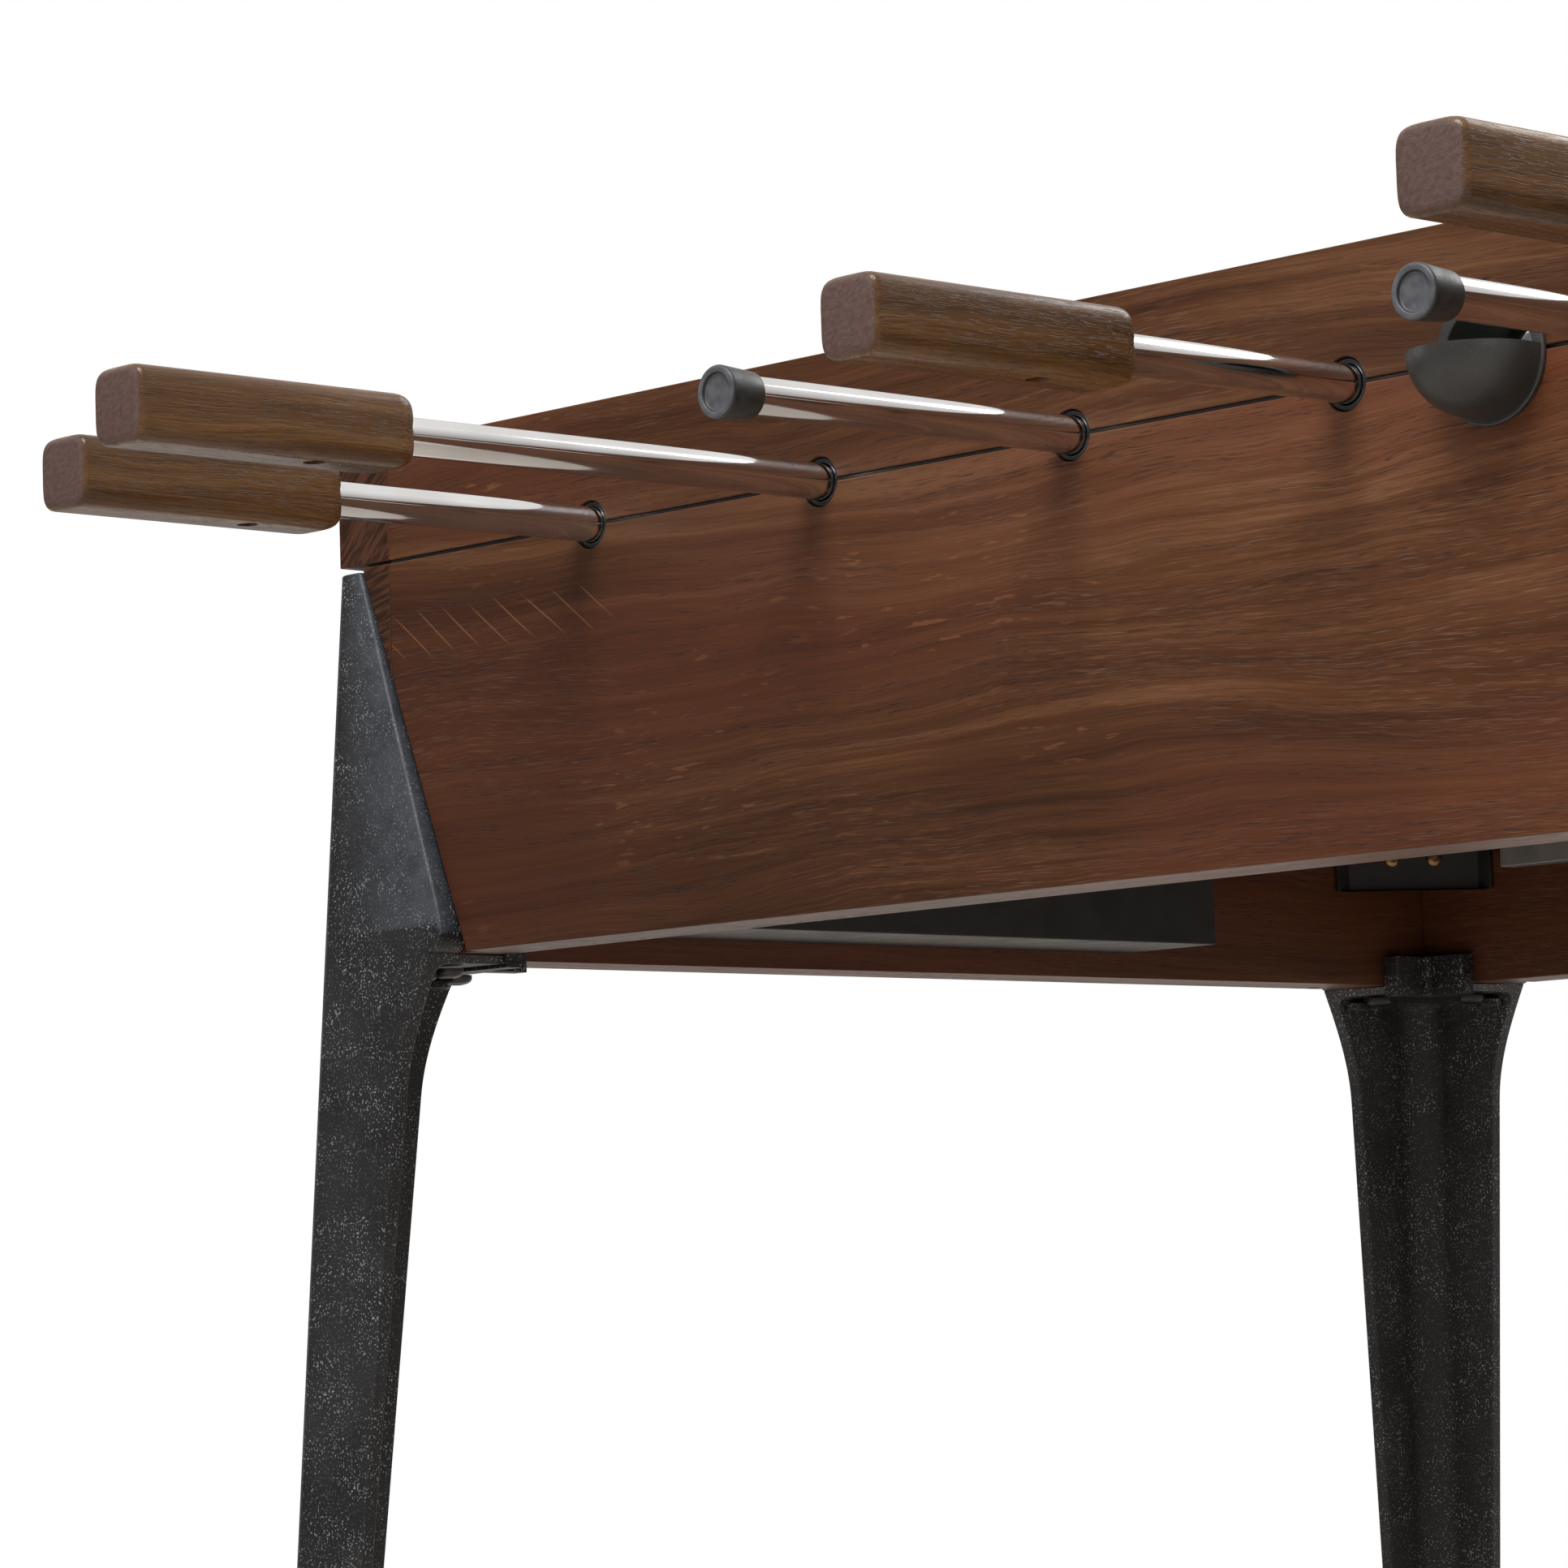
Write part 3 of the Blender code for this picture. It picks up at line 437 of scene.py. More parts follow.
OAKS = {
    "rim_front": oak("oak_rim_front", "X", 0.35, 3.0),
    "rim_back": oak("oak_rim_back", "X", 0.30, 31.0),
    "rim_left": oak("oak_rim_left", "Y", 0.75, 47.0),
    "rim_right": oak("oak_rim_right", "Y", -0.70, 59.0),
    "panel_front": oak("oak_panel_front", "X", 0.0, 73.0, flecks=(-678.0, -505.0)),
    "panel_back": oak("oak_panel_back", "X", 0.15, 91.0),
    "end_panel_left": oak("oak_end_left", "Y", 0.25, 103.0),
    "end_panel_right": oak("oak_end_right", "Y", -0.20, 127.0),
}
GRIP = grip_oak()
IRON = cast_iron("cast_iron_look", (0.016, 0.0160, 0.0168), 0.80, 0.46, 0.12, highlight_edges=True)
CUP_IRON = cast_iron("cup_iron_look", (0.050, 0.050, 0.048), 0.06, 0.38, 0.35)
CHROME = chrome()
BUSH_BLACK = moulded("bush_plastic_look", (0.010, 0.010, 0.011), 0.20, 0.06, 1.2, 0.00003)
CAP_RUBBER = cap_rubber()
BUMPER_RUBBER = moulded("bumper_rubber_look", (0.014, 0.014, 0.014), 0.62, 0.10, 0.8, 0.00010)
GOAL_STEEL = moulded("goal_steel_look", (0.017, 0.016, 0.015), 0.50, 0.12, 0.9, 0.00008, 0.3)
BRACE_STEEL = moulded("brace_steel_look", (0.028, 0.026, 0.025), 0.45, 0.14, 0.7, 0.00008, 0.5)
RAIL_METAL = moulded("rail_metal_look", (0.210, 0.200, 0.185), 0.42, 0.10, 0.5, 0.00005, 0.4)
BRASS = moulded("brass_screw_look", (0.270, 0.160, 0.075), 0.36, 0.12, 0.5, 0.00006, 0.9)
DARK_SCREW = moulded("dark_screw_look", (0.040, 0.038, 0.038), 0.36, 0.12, 0.6, 0.00006, 0.8)
LINE_PAINT = moulded("field_line_look", (0.52, 0.53, 0.50), 0.50, 0.08, 0.6, 0.00003)
TEAM_DARK = moulded("team_dark_look", (0.030, 0.034, 0.040), 0.38, 0.10, 0.5, 0.00008)
TEAM_PALE = moulded("team_pale_look", (0.58, 0.54, 0.47), 0.40, 0.10, 0.5, 0.00008)
FIELD_GREEN = laminate()
FIELD_PLY = ply()


# Shapes.


def finished(name, bm, material, smooth=35.0, rides="cabinet", replaces=()):
    """Makes the bmesh a piece of the object. Edges sharper than smooth degrees stay sharp."""
    bmesh.ops.remove_doubles(bm, verts=bm.verts, dist=1e-6)
    mesh = mesh_from(name, bm, material)
    shade(mesh, smooth)
    return attached(bpy.data.objects.new(name, mesh), rides, replaces)


def mesh_from(name, bm, material=None):
    """The closed bmesh as a mesh, its faces turned outwards."""
    bmesh.ops.recalc_face_normals(bm, faces=bm.faces)
    mesh = bpy.data.meshes.new(name)
    bm.to_mesh(mesh)
    bm.free()
    if material:
        mesh.materials.append(material)
    return mesh


def shade(mesh, smooth):
    mesh.shade_smooth()
    mesh.set_sharp_from_angle(angle=math.radians(smooth))


def attached(piece, rides, replaces=()):
    """Puts a piece in the scene, on its body, with the nodes it stands for."""
    if piece.name not in bpy.context.scene.collection.objects:
        link(piece)
    if rides:
        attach(piece, rides)
    if replaces:
        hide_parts(*replaces)
    return piece


def tool(bm):
    """A closed shape for one Boolean, removed by carved()."""
    made = bpy.data.objects.new("tool", mesh_from("tool", bm))
    link(made)
    return made


def carved(piece, shapes, operation="DIFFERENCE", smooth=35.0):
    """Applies a Boolean with each shape to a piece's mesh."""
    tools = []
    for bm in shapes:
        tools.append(tool(bm))
        modifier = piece.modifiers.new("carve", "BOOLEAN")
        modifier.operation = operation
        modifier.solver = "EXACT"
        modifier.object = tools[-1]
    bpy.context.view_layer.update()
    graph = bpy.context.evaluated_depsgraph_get()
    mesh = bpy.data.meshes.new_from_object(piece.evaluated_get(graph))
    piece.modifiers.clear()
    piece.data = mesh
    shade(mesh, smooth)
    for used in tools:
        bpy.data.objects.remove(used, do_unlink=True)
    return piece


def round_edges(piece, width, segments=3, angle=40.0):
    """A Bevel on the sharp edges, after a Weld that closes split corners."""
    weld = piece.modifiers.new("weld", "WELD")
    weld.merge_threshold = 0.00001
    bevel = piece.modifiers.new("edges", "BEVEL")
    bevel.width = width
    bevel.segments = segments
    bevel.limit_method = "ANGLE"
    bevel.angle_limit = math.radians(angle)
    bevel.harden_normals = True
    return piece


def add_loft(bm, rings, joined=False):
    """A skin over rings of equally many points, closed by end faces or joined end to end."""
    loops = [[bm.verts.new(point) for point in ring] for ring in rings]
    count = len(loops[0])
    for near, far in zip(loops, loops[1:] + loops[:1] if joined else loops[1:]):
        for i in range(count):
            j = (i + 1) % count
            bm.faces.new((near[i], near[j], far[j], far[i]))
    if not joined:
        bm.faces.new(loops[0])
        bm.faces.new(loops[-1])
    return bm


def loft(rings, joined=False):
    return add_loft(bmesh.new(), rings, joined)


def block(low, high, bm=None):
    xs, ys = (low[0], high[0]), (low[1], high[1])
    corners = [(xs[0], ys[0]), (xs[1], ys[0]), (xs[1], ys[1]), (xs[0], ys[1])]
    return add_loft(bm or bmesh.new(), [[(x, y, z) for x, y in corners] for z in (low[2], high[2])])


def filleted(points, radii, steps=6, closed=True):
    """A flat outline with each corner turned into an arc of its own radius."""
    made = []
    count = len(points)
    for i, point in enumerate(points):
        if not closed and i in (0, count - 1):
            made.append(point)
            continue
        corner = Vector(point)
        before = Vector(points[i - 1]) - corner
        after = Vector(points[(i + 1) % count]) - corner
        half = before.angle(after) / 2
        reach = min(radii[i] / math.tan(half), 0.49 * before.length, 0.49 * after.length)
        start = corner + before.normalized() * reach
        end = corner + after.normalized() * reach
        middle = (before.normalized() + after.normalized()).normalized()
        center = corner + middle * (reach / math.cos(half))
        a, b = start - center, end - center
        first = math.atan2(a.y, a.x)
        turn = (math.atan2(b.y, b.x) - first + math.pi) % (2 * math.pi) - math.pi
        for k in range(steps + 1):
            angle = first + turn * k / steps
            made.append((center.x + a.length * math.cos(angle), center.y + a.length * math.sin(angle)))
    return made


def circle(radius, count):
    angles = [2 * math.pi * i / count for i in range(count)]
    return [(radius * math.cos(a), radius * math.sin(a)) for a in angles]


def superellipse(half_x, half_y, power, count, start=0.0):
    """An outline between an ellipse, at power 2, and a rectangle."""
    outline = []
    for i in range(count):
        a = 2 * math.pi * (i + start) / count
        c, s = math.cos(a), math.sin(a)
        x = half_x * math.copysign(abs(c) ** (2 / power), c)
        outline.append((x, half_y * math.copysign(abs(s) ** (2 / power), s)))
    return outline


def turned(profile, sides=48, joined=False):
    """A turned shape round the Y axis, from (radius, y) points."""
    return loft([[(x, y, z) for x, z in circle(radius, sides)] for radius, y in profile], joined)


def sleeve(inner, outer, low, high, edge):
    """A sleeve round the Y axis, with rounded edges."""
    corners = [(inner, low), (outer, low), (outer, high), (inner, high)]
    return turned(filleted(corners, [edge] * 4, 4), joined=True)


def moved(bm, x=0.0, y=0.0, z=0.0, turn=False):
    """The shape turned half a turn about Z if asked, and then moved."""
    if turn:
        bmesh.ops.rotate(bm, verts=bm.verts, matrix=Matrix.Rotation(math.pi, 3, "Z"))
    bmesh.ops.translate(bm, verts=bm.verts, vec=(x, y, z))
    return bm


def screw_head(radius, height):
    """A button-head screw on the XY plane, its head up +Z, with a hexagon socket."""
    sides = 24
    dome = [(radius, 0.0), (radius, height * 0.35)]
    for k in range(1, 6):
        a = math.pi / 2 * k / 6
        dome.append((radius * math.cos(a * 0.85), height * (0.35 + 0.65 * math.sin(a))))
    rings = [[(x, y, z) for x, y in circle(r, sides)] for r, z in dome]
    for r, z in ((radius * 0.42, height), (radius * 0.40, height * 0.35)):
        ring = []
        for i in range(sides):
            a = 2 * math.pi * i / sides
            flat = math.cos(math.pi / 6) / math.cos((a % (math.pi / 3)) - math.pi / 6)
            ring.append((r * flat * math.cos(a), r * flat * math.sin(a), z))
        rings.append(ring)
    return loft(rings)


# The cabinet's boards.


def notch_points(x, radius, seam_z, steps):
    """The half-round notch round a rod or ball entry, from left to right."""
    sag = math.asin(abs(seam_z - AXIS) / radius)
    side = 1 if seam_z > AXIS else -1
    points = []
    for k in range(steps + 1):
        a = math.pi - sag + (2 * sag - math.pi) * k / steps
        points.append((x + radius * math.cos(a), AXIS + side * radius * math.sin(a)))
    return points


def leg_offset(depth):
    return LEG_PROUD + LEG_SPLAY * depth


def beside_panel_width(depth):
    return LEG_TOP_WIDTH + LEG_WIDENING * depth


def tapered_width(depth):
    return LEG_FOOT_WIDTH + LEG_TAPER * (AXIS - depth)


def leg_pocket(sx, sy):
    """What a leg's flanges and the slot beside them take out of the boards."""
    rings = []
    for depth in (-0.01, PANEL_HEIGHT + 0.01):
        out = leg_offset(depth)
        width = beside_panel_width(depth) + LEG_SLOT
        wall = out + LEG_REBATE + FIT
        past = -0.02
        points = [(width, past), (past, past), (past, width)]
        points += [(wall, width), (wall, wall), (width, wall)]
        rings.append([(sx * (HALF_LENGTH + out - a), sy * (HALF_WIDTH + out - b), AXIS - depth)
                      for a, b in points])
    return loft(rings)


def round_hole(x, y, radius, sides, heights):
    return loft([[(x + px, y + py, z) for px, py in circle(radius, sides)] for z in heights])


def long_board(node, side):
    low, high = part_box(node)
    upper = low.z > AXIS
    seam_z, far_z = (low.z, high.z) if upper else (high.z, low.z)
    outline = [(low.x, far_z), (low.x, seam_z)]
    for x, radius, steps in sorted([(x, BUSH_RADIUS + FIT, 16) for x in ROD_X]
                                   + [(0.0, LINER_OUTER + FIT, 32)]):
        outline += notch_points(x, radius, seam_z, steps)
    outline += [(high.x, seam_z), (high.x, far_z)]
    rings = [[(x, y, z) for x, z in outline] for y in (low.y, high.y)]
    piece = finished(node + "_board", loft(rings), OAKS[node], rides=None)
    if not upper:
        shapes = [leg_pocket(sx, side) for sx in (-1, 1)]
        ys = sorted((side * (INNER_HALF_WIDTH + GROOVE_DEPTH), side * (INNER_HALF_WIDTH - 0.01)))
        groove = block((FIELD_LOW.x - FIT, ys[0], FIELD_BOTTOM - FIT),
                       (FIELD_HIGH.x + FIT, ys[1], FIELD_HIGH.z + FIT))
        carved(piece, shapes + [groove])
    attached(piece, "cabinet", [node])
    round_edges(piece, EDGE)


def end_board(node, side):
    piece = finished(node + "_board", block(*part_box(node)), OAKS[node], rides=None)
    if "panel" in node:
        shapes = [leg_pocket(side, sy) for sy in (-1, 1)]
        x, y = END_BOLT_HOLE
        heights = (PANEL_BOTTOM - 0.005, PANEL_BOTTOM + 0.012)
        shapes += [round_hole(side * x, sy * y, 0.004, 20, heights) for sy in (-1, 1)]
        carved(piece, shapes)
    attached(piece, "cabinet", [node])
    round_edges(piece, EDGE)


for kind in ("rim", "panel"):
    long_board(kind + "_front", -1)
    long_board(kind + "_back", 1)
for kind in ("rim", "end_panel"):
    end_board(kind + "_left", -1)
    end_board(kind + "_right", 1)


# The legs.


def leg_outline(width, wall, fillet, inset=0.0):
    """An L-shaped section round the outer corner, all of it drawn in by inset."""
    fillet = min(fillet, (width - wall) * 0.9)
    far, near = width - inset, wall - inset
    points = [(far, inset), (inset, inset), (inset, far), (near, far), (near, near), (far, near)]
    edge = 0.0016
    radii = [edge, LEG_CORNER, edge, edge * 0.7, max(fillet, 0.0002), edge * 0.7]
    return filleted(points, radii, 6)


def leg_stations():
    """(depth, flange width, wall, inner fillet, inset) from the top of the leg to the floor."""
    start = PANEL_HEIGHT - LEG_SHOULDER
    crest = PANEL_HEIGHT - LEG_SHOULDER / 8
    shoulder_width = beside_panel_width(PANEL_HEIGHT) - LEG_SHOULDER_LOSS
    stations = []

    def beside_panel(depth, width, inset=0.0):
        stations.append((depth, width, leg_offset(depth) + LEG_REBATE, 0.0, inset))

    for down, inset in ((0.0, 0.0010), (0.0003, 0.0003), (0.0010, 0.0)):
        beside_panel(LEG_TOP + down, beside_panel_width(LEG_TOP + down), inset)
    for k in range(1, 12):
        depth = LEG_TOP + (start - LEG_TOP) * k / 12
        beside_panel(depth, beside_panel_width(depth))
    for k in range(13):
        t = k / 12
        shares = ((1 - t) ** 2, 2 * t * (1 - t), t**2)
        depth = sum(s * d for s, d in zip(shares, (start, crest, PANEL_HEIGHT)))
        widths = (beside_panel_width(start), beside_panel_width(crest), shoulder_width)
        beside_panel(depth, sum(s * w for s, w in zip(shares, widths)))
    ledge_top = PANEL_HEIGHT + FIT
    beside_panel(ledge_top, shoulder_width)
    flare = shoulder_width - tapered_width(ledge_top)
    ledge = leg_offset(ledge_top) + BOARD + LEDGE_LAP
    seat_end = ledge_top + LEDGE_DRAFT
    under = seat_end + LEDGE_THICKNESS
    root_end = under + LEDGE_DRAFT + LEDGE_ROOT
    flare_end = seat_end + LEG_FLARE_HEIGHT
    walls = [(seat_end, ledge), (under, ledge)]
    for k in range(7):
        a = math.pi / 2 * k / 6
        depth = under + LEDGE_DRAFT + LEDGE_ROOT * (1 - math.cos(a))
        walls.append((depth, LEG_WALL + LEDGE_ROOT * (1 - math.sin(a))))
    for k in range(1, 19):
        walls.append((root_end + (flare_end - root_end) * k / 18, LEG_WALL))
    for depth, wall in walls:
        left = 1 - math.sin(math.pi / 2 * min(1.0, (depth - seat_end) / LEG_FLARE_HEIGHT))
        stations.append((depth, tapered_width(depth) + flare * left, wall, LEG_FILLET, 0.0))
    low = stations[-1][0]
    for k in range(1, 16):
        depth = low + (AXIS - 0.001 - low) * k / 15
        stations.append((depth, tapered_width(depth), LEG_WALL, LEG_FILLET, 0.0))
    stations.append((AXIS, LEG_FOOT_WIDTH, LEG_WALL, LEG_FILLET, 0.0008))
    return stations


def corner_point(sx, sy, a, b, z, out=0.0):
    """A point a and b metres in from a corner of the cabinet, or from out beyond that corner."""
    return (sx * (HALF_LENGTH + out - a), sy * (HALF_WIDTH + out - b), z)


def leg_tab(sx, sy):
    """The L-shaped tab that holds the leg against the inner corner of the boards."""
    outline = [(0, 0), (TAB_ARM, 0), (TAB_ARM, TAB_WALL)]
    outline += [(TAB_WALL, TAB_WALL), (TAB_WALL, TAB_ARM), (0, TAB_ARM)]
    outline = filleted(outline, [0.0005, 0.0005, 0.002, 0.004, 0.002, 0.0005], 5)
    inner = BOARD + FIT
    heights = (PANEL_BOTTOM - TAB_OVERLAP, PANEL_BOTTOM + TAB_HEIGHT)
    return loft([[corner_point(sx, sy, inner + a, inner + b, z) for a, b in outline] for z in heights])


def bolt_pad(sx, sy, along_x):
    """The half-round pad on a flange's inner face, just under the ledge."""
    top = PANEL_HEIGHT + FIT + LEDGE_DRAFT + LEDGE_THICKNESS + PAD_GAP
    out = leg_offset(top)
    rings = []
    for inset, drop in ((0.001, 0.0), (0.0, 0.001), (0.0, PAD_HEIGHT - 0.001), (0.001, PAD_HEIGHT)):
        ring = []
        for across, inwards in circle(PAD_RADIUS - inset, 28):
            a, b = BOLT_ALONG + out + across, LEG_WALL + 0.001 + inwards
            a, b = (a, b) if along_x else (b, a)
            ring.append(corner_point(sx, sy, a, b, AXIS - top - drop, out))
        rings.append(ring)
    return loft(rings)


def leg(name, sx, sy):
    rings = []
    for depth, width, wall, fillet, inset in leg_stations():
        out = leg_offset(depth)
        outline = leg_outline(width, wall, fillet, inset)
        rings.append([corner_point(sx, sy, a, b, AXIS - depth, out) for a, b in outline])
    piece = finished(name + "_casting", loft(rings), IRON, rides=None)
    carved(piece, [leg_tab(sx, sy), bolt_pad(sx, sy, True), bolt_pad(sx, sy, False)], "UNION")
    mark_edge_highlight(piece, sx, sy)
    even = piece.modifiers.new("flat_faces", "WEIGHTED_NORMAL")
    even.keep_sharp = True
    even.weight = 100
    attached(piece, "cabinet", [name])
    for label, a, b in (("long", BOLT_ALONG, BOLT_IN), ("end", BOLT_IN, BOLT_ALONG)):
        bolt = screw_head(0.0075, 0.0045)
        bmesh.ops.rotate(bolt, verts=bolt.verts, matrix=Matrix.Rotation(math.pi, 3, "X"))
        moved(bolt, *corner_point(sx, sy, a, b, PANEL_BOTTOM - 0.006))
        finished(f"{name}_bolt_{label}", bolt, DARK_SCREW)


def mark_edge_highlight(piece, sx, sy):
    """A point attribute that is 1 along the casting's outer corner and its flanges' outer edges, where
    the material paints its highlight.
    """
    mesh = piece.data
    wear = mesh.attributes.new("wear", "FLOAT", "POINT")
    for i, vertex in enumerate(mesh.vertices):
        depth = AXIS - vertex.co.z
        out = leg_offset(depth)
        a = HALF_LENGTH + out - sx * vertex.co.x
        b = HALF_WIDTH + out - sy * vertex.co.y
        near, far = min(a, b), max(a, b)
        width = beside_panel_width(depth) if depth < PANEL_HEIGHT else 1.0
        on_edge = near < 0.0022 and (far > width - 0.0026 or far < LEG_CORNER * 0.8)
        wear.data[i].value = 1.0 if on_edge else 0.0


for corner, sx, sy in CORNERS:
    leg(f"leg_{corner}", sx, sy)


# Inside the cabinet: the field, the goals and the corner braces.


def field():
    left, right = FIELD_LOW.x, FIELD_HIGH.x
    tongue = INNER_HALF_WIDTH + GROOVE_DEPTH - FIT
    face_bottom = FIELD_HIGH.z - 0.001
    board = block((left, -tongue, FIELD_BOTTOM), (right, tongue, face_bottom))
    piece = finished("playfield_board", board, FIELD_PLY, replaces=["playfield"])
    round_edges(piece, 0.0005)
    face = block((left, -tongue, face_bottom), (right, tongue, FIELD_HIGH.z))
    finished("playfield_laminate", face, FIELD_GREEN)
    outer = INNER_HALF_WIDTH - FIT
    rail_top = FIELD_LOW.z + RAIL_HEIGHT
    for label, side in (("front", -1), ("back", 1)):
        low_y, high_y = sorted((side * outer, side * (outer - BATTEN_WIDTH)))
        batten = block((left, low_y, rail_top), (right, high_y, FIELD_BOTTOM))
        round_edges(finished(f"field_batten_{label}", batten, FIELD_PLY), 0.0006)
        rail = block((left, low_y, FIELD_LOW.z), (right, high_y, rail_top))
        round_edges(finished(f"field_rail_{label}", rail, RAIL_METAL), 0.0008)


def field_lines():
    """The centre line and circle and the two goal areas, painted on the field."""
    width, thick = 0.004, 0.0003
    low, high = FIELD_HIGH.z, FIELD_HIGH.z + thick
    gap, margin = 0.0005, 0.004
    circle_radius = 0.095
    area_depth, half = 0.150, 0.160
    section = [(circle_radius - width, low), (circle_radius, low)]
    section += [(circle_radius, high), (circle_radius - width, high)]
    bm = loft([[(x, y, z) for x, y in circle(radius, 72)] for radius, z in section], joined=True)
    inside = circle_radius - width - gap
    outside = circle_radius + gap
    edge = INNER_HALF_WIDTH - margin
    for y0, y1 in ((-edge, -outside), (-inside, inside), (outside, edge)):
        block((-width / 2, y0, low), (width / 2, y1, high), bm)
    for side in (-1, 1):
        end = side * (-FIELD_LOW.x - margin)
        reach = side * (-FIELD_LOW.x - area_depth)
        xs = sorted((reach, reach + side * width))
        block((xs[0], -half, low), (xs[1], half, high), bm)
        xs = sorted((reach + side * (width + gap), end))
        for y in (-half, half - width):
            block((xs[0], y, low), (xs[1], y + width, high), bm)
    finished("field_lines", bm, LINE_PAINT)


def goal(node):
    piece = frame["nodes"][node]
    piece.data.materials.clear()
    piece.data.materials.append(GOAL_STEEL)
    round_edges(piece, 0.0008, 2)


def brace(name, sx, sy, reach_y):
    """A folded plate across an inner corner, with two screws."""
    foot = 0.010
    path = [(0, reach_y), (0, reach_y - foot), (BRACE_REACH - foot, 0), (BRACE_REACH, 0)]
    inner = [(BRACE_SHEET, reach_y), (BRACE_SHEET, reach_y - foot + 0.001),
             (BRACE_REACH - foot + 0.001, BRACE_SHEET), (BRACE_REACH, BRACE_SHEET)]
    outline = path + inner[::-1]
    outline = filleted(outline, [0.0004, 0.002, 0.002, 0.0004, 0.0004, 0.003, 0.003, 0.0004], 4)
    base = BOARD + FIT
    heights = (AXIS - BRACE_LOW, FIELD_BOTTOM - 0.001)
    rings = [[corner_point(sx, sy, base + a, base + b, z) for a, b in outline] for z in heights]
    round_edges(finished(name, loft(rings), BRACE_STEEL), 0.0004, 2)
    first, second = Vector(inner[1]), Vector(inner[2])
    middle, along = (first + second) / 2, (second - first).normalized()
    facing = Vector((sx * -abs(along.y), sy * -abs(along.x), 0.0))
    for label, shift in (("a", -0.012), ("b", 0.012)):
        spot = middle + along * shift
        head = screw_head(0.0042, 0.0024)
        matrix = facing.to_track_quat("Z", "Y").to_matrix()
        bmesh.ops.rotate(head, verts=head.verts, matrix=matrix)
        moved(head, *corner_point(sx, sy, base + spot.x, base + spot.y, AXIS - 0.119))
        finished(f"{name}_screw_{label}", head, BRASS)


field()
field_lines()
goal("goal_left")
goal("goal_right")
for corner, sx, sy in CORNERS:
    reach = BRACE_REACH_TIGHT if sx == sy else BRACE_REACH_FREE
    brace(f"corner_brace_{corner}", sx, sy, reach)


# The bearings and the ball entries, drawn for the front and turned half a turn for the back.


def bearings(label, turn):
    low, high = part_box(f"bearing_strip_{label}")
    # The bearing strip's web: a thin black sheet in the seam between the bushes, which is also painted
    # shade standing in for the seam's shadow gap.
    shade_web = bmesh.new()
    stops = sorted([(x, BUSH_RADIUS) for x in ROD_X] + [(0.0, LINER_OUTER)])
    start = low.x
    for x, radius in stops + [(high.x + BUSH_RADIUS, BUSH_RADIUS)]:
        end = min(x - radius + 0.001, high.x)
        block((start, low.y, AXIS - 0.0005), (end, high.y, AXIS + 0.0005), shade_web)
        start = x + radius - 0.001
    name = f"seam_strip_{label}"
    finished(name, shade_web, BUSH_BLACK, replaces=[f"bearing_strip_{label}"])
    outer, inner = -HALF_WIDTH + BUSH_RECESS, -INNER_HALF_WIDTH
    for n, x in zip(RODS, ROD_X):
        bush = moved(sleeve(ROD_RADIUS + FIT, BUSH_RADIUS, outer, inner, 0.0008), turn=turn)
        finished(f"bush_{label}_{n}", moved(bush, x=x, z=AXIS), BUSH_BLACK)
    ring = moved(sleeve(ENTRY_OUTER + FIT, LINER_OUTER, outer, inner, 0.0006), z=AXIS, turn=turn)
    finished(f"entry_ring_{label}", ring, BUSH_BLACK)


def scoop():
    """The scoop below the entry, a straight run that ends in a quarter-sphere."""
    steps, turns = 36, 18
    outline = []
    for radius, order in ((SCOOP_RADIUS, 1), (SCOOP_RADIUS - SCOOP_WALL, -1)):
        arc = [math.pi * (1 + k / steps) for k in range(steps + 1)][::order]
        outline += [(radius * math.cos(a), radius * math.sin(a)) for a in arc]
    rings = []
    for k in range(turns + 1):
        a = math.pi / 2 * k / turns
        forward, lift = math.cos(a), math.sin(a)
        rings.append([(x, y * forward - SCOOP_RUN, y * lift + SCOOP_LIP) for x, y in outline])
    rings.append([(x, 0.0, y + SCOOP_LIP) for x, y in outline])
    return loft(rings)


def cup(label, turn):
    face = -HALF_WIDTH - FIT
    rim, inner = face - FLANGE_THICKNESS, -INNER_HALF_WIDTH
    lip, lip_start = ENTRY_RADIUS - ENTRY_LIP, inner - ENTRY_LIP_LENGTH
    section = [(ENTRY_OUTER, inner), (ENTRY_OUTER, face), (FLANGE_RADIUS, face), (FLANGE_RADIUS, rim)]
    section += [(ENTRY_RADIUS, rim), (ENTRY_RADIUS, lip_start), (lip, lip_start), (lip, inner)]
    tube = filleted(section, [0.0003, 0.0001, 0.0001, 0.0010, 0.0008, 0.0004, 0.0006, 0.0006], 4)
    node = f"ball_cup_{label}"
    piece = finished(node + "_casting", turned(tube, 64, joined=True), CUP_IRON, rides=None)
    bowl = scoop()
    bmesh.ops.remove_doubles(bowl, verts=bowl.verts, dist=1e-6)
    carved(piece, [moved(bowl, y=face - FLANGE_THICKNESS / 2)], "UNION")
    piece.data.transform(Matrix.Translation((0, 0, AXIS)) @ Matrix.Rotation(math.pi * turn, 4, "Z"))
    attached(piece, "cabinet", [node])
    round_edges(piece, 0.0009, 3, 50.0)


bearings("front", False)
bearings("back", True)
cup("front", False)
cup("back", True)


# The rods.


def catmull(points, steps):
    """Extra stations on a smooth curve through the given ones."""
    made = []
    for i in range(len(points) - 1):
        p0, p1 = points[max(i - 1, 0)], points[i]
        p2, p3 = points[i + 1], points[min(i + 2, len(points) - 1)]
        for k in range(steps):
            t = k / steps
            made.append(tuple(0.5 * (2 * b + (c - a) * t + (2 * a - 5 * b + 4 * c - d) * t**2
                                     + (3 * b - a - 3 * c + d) * t**3)
                              for a, b, c, d in zip(p0, p1, p2, p3)))
    return made + [points[-1]]


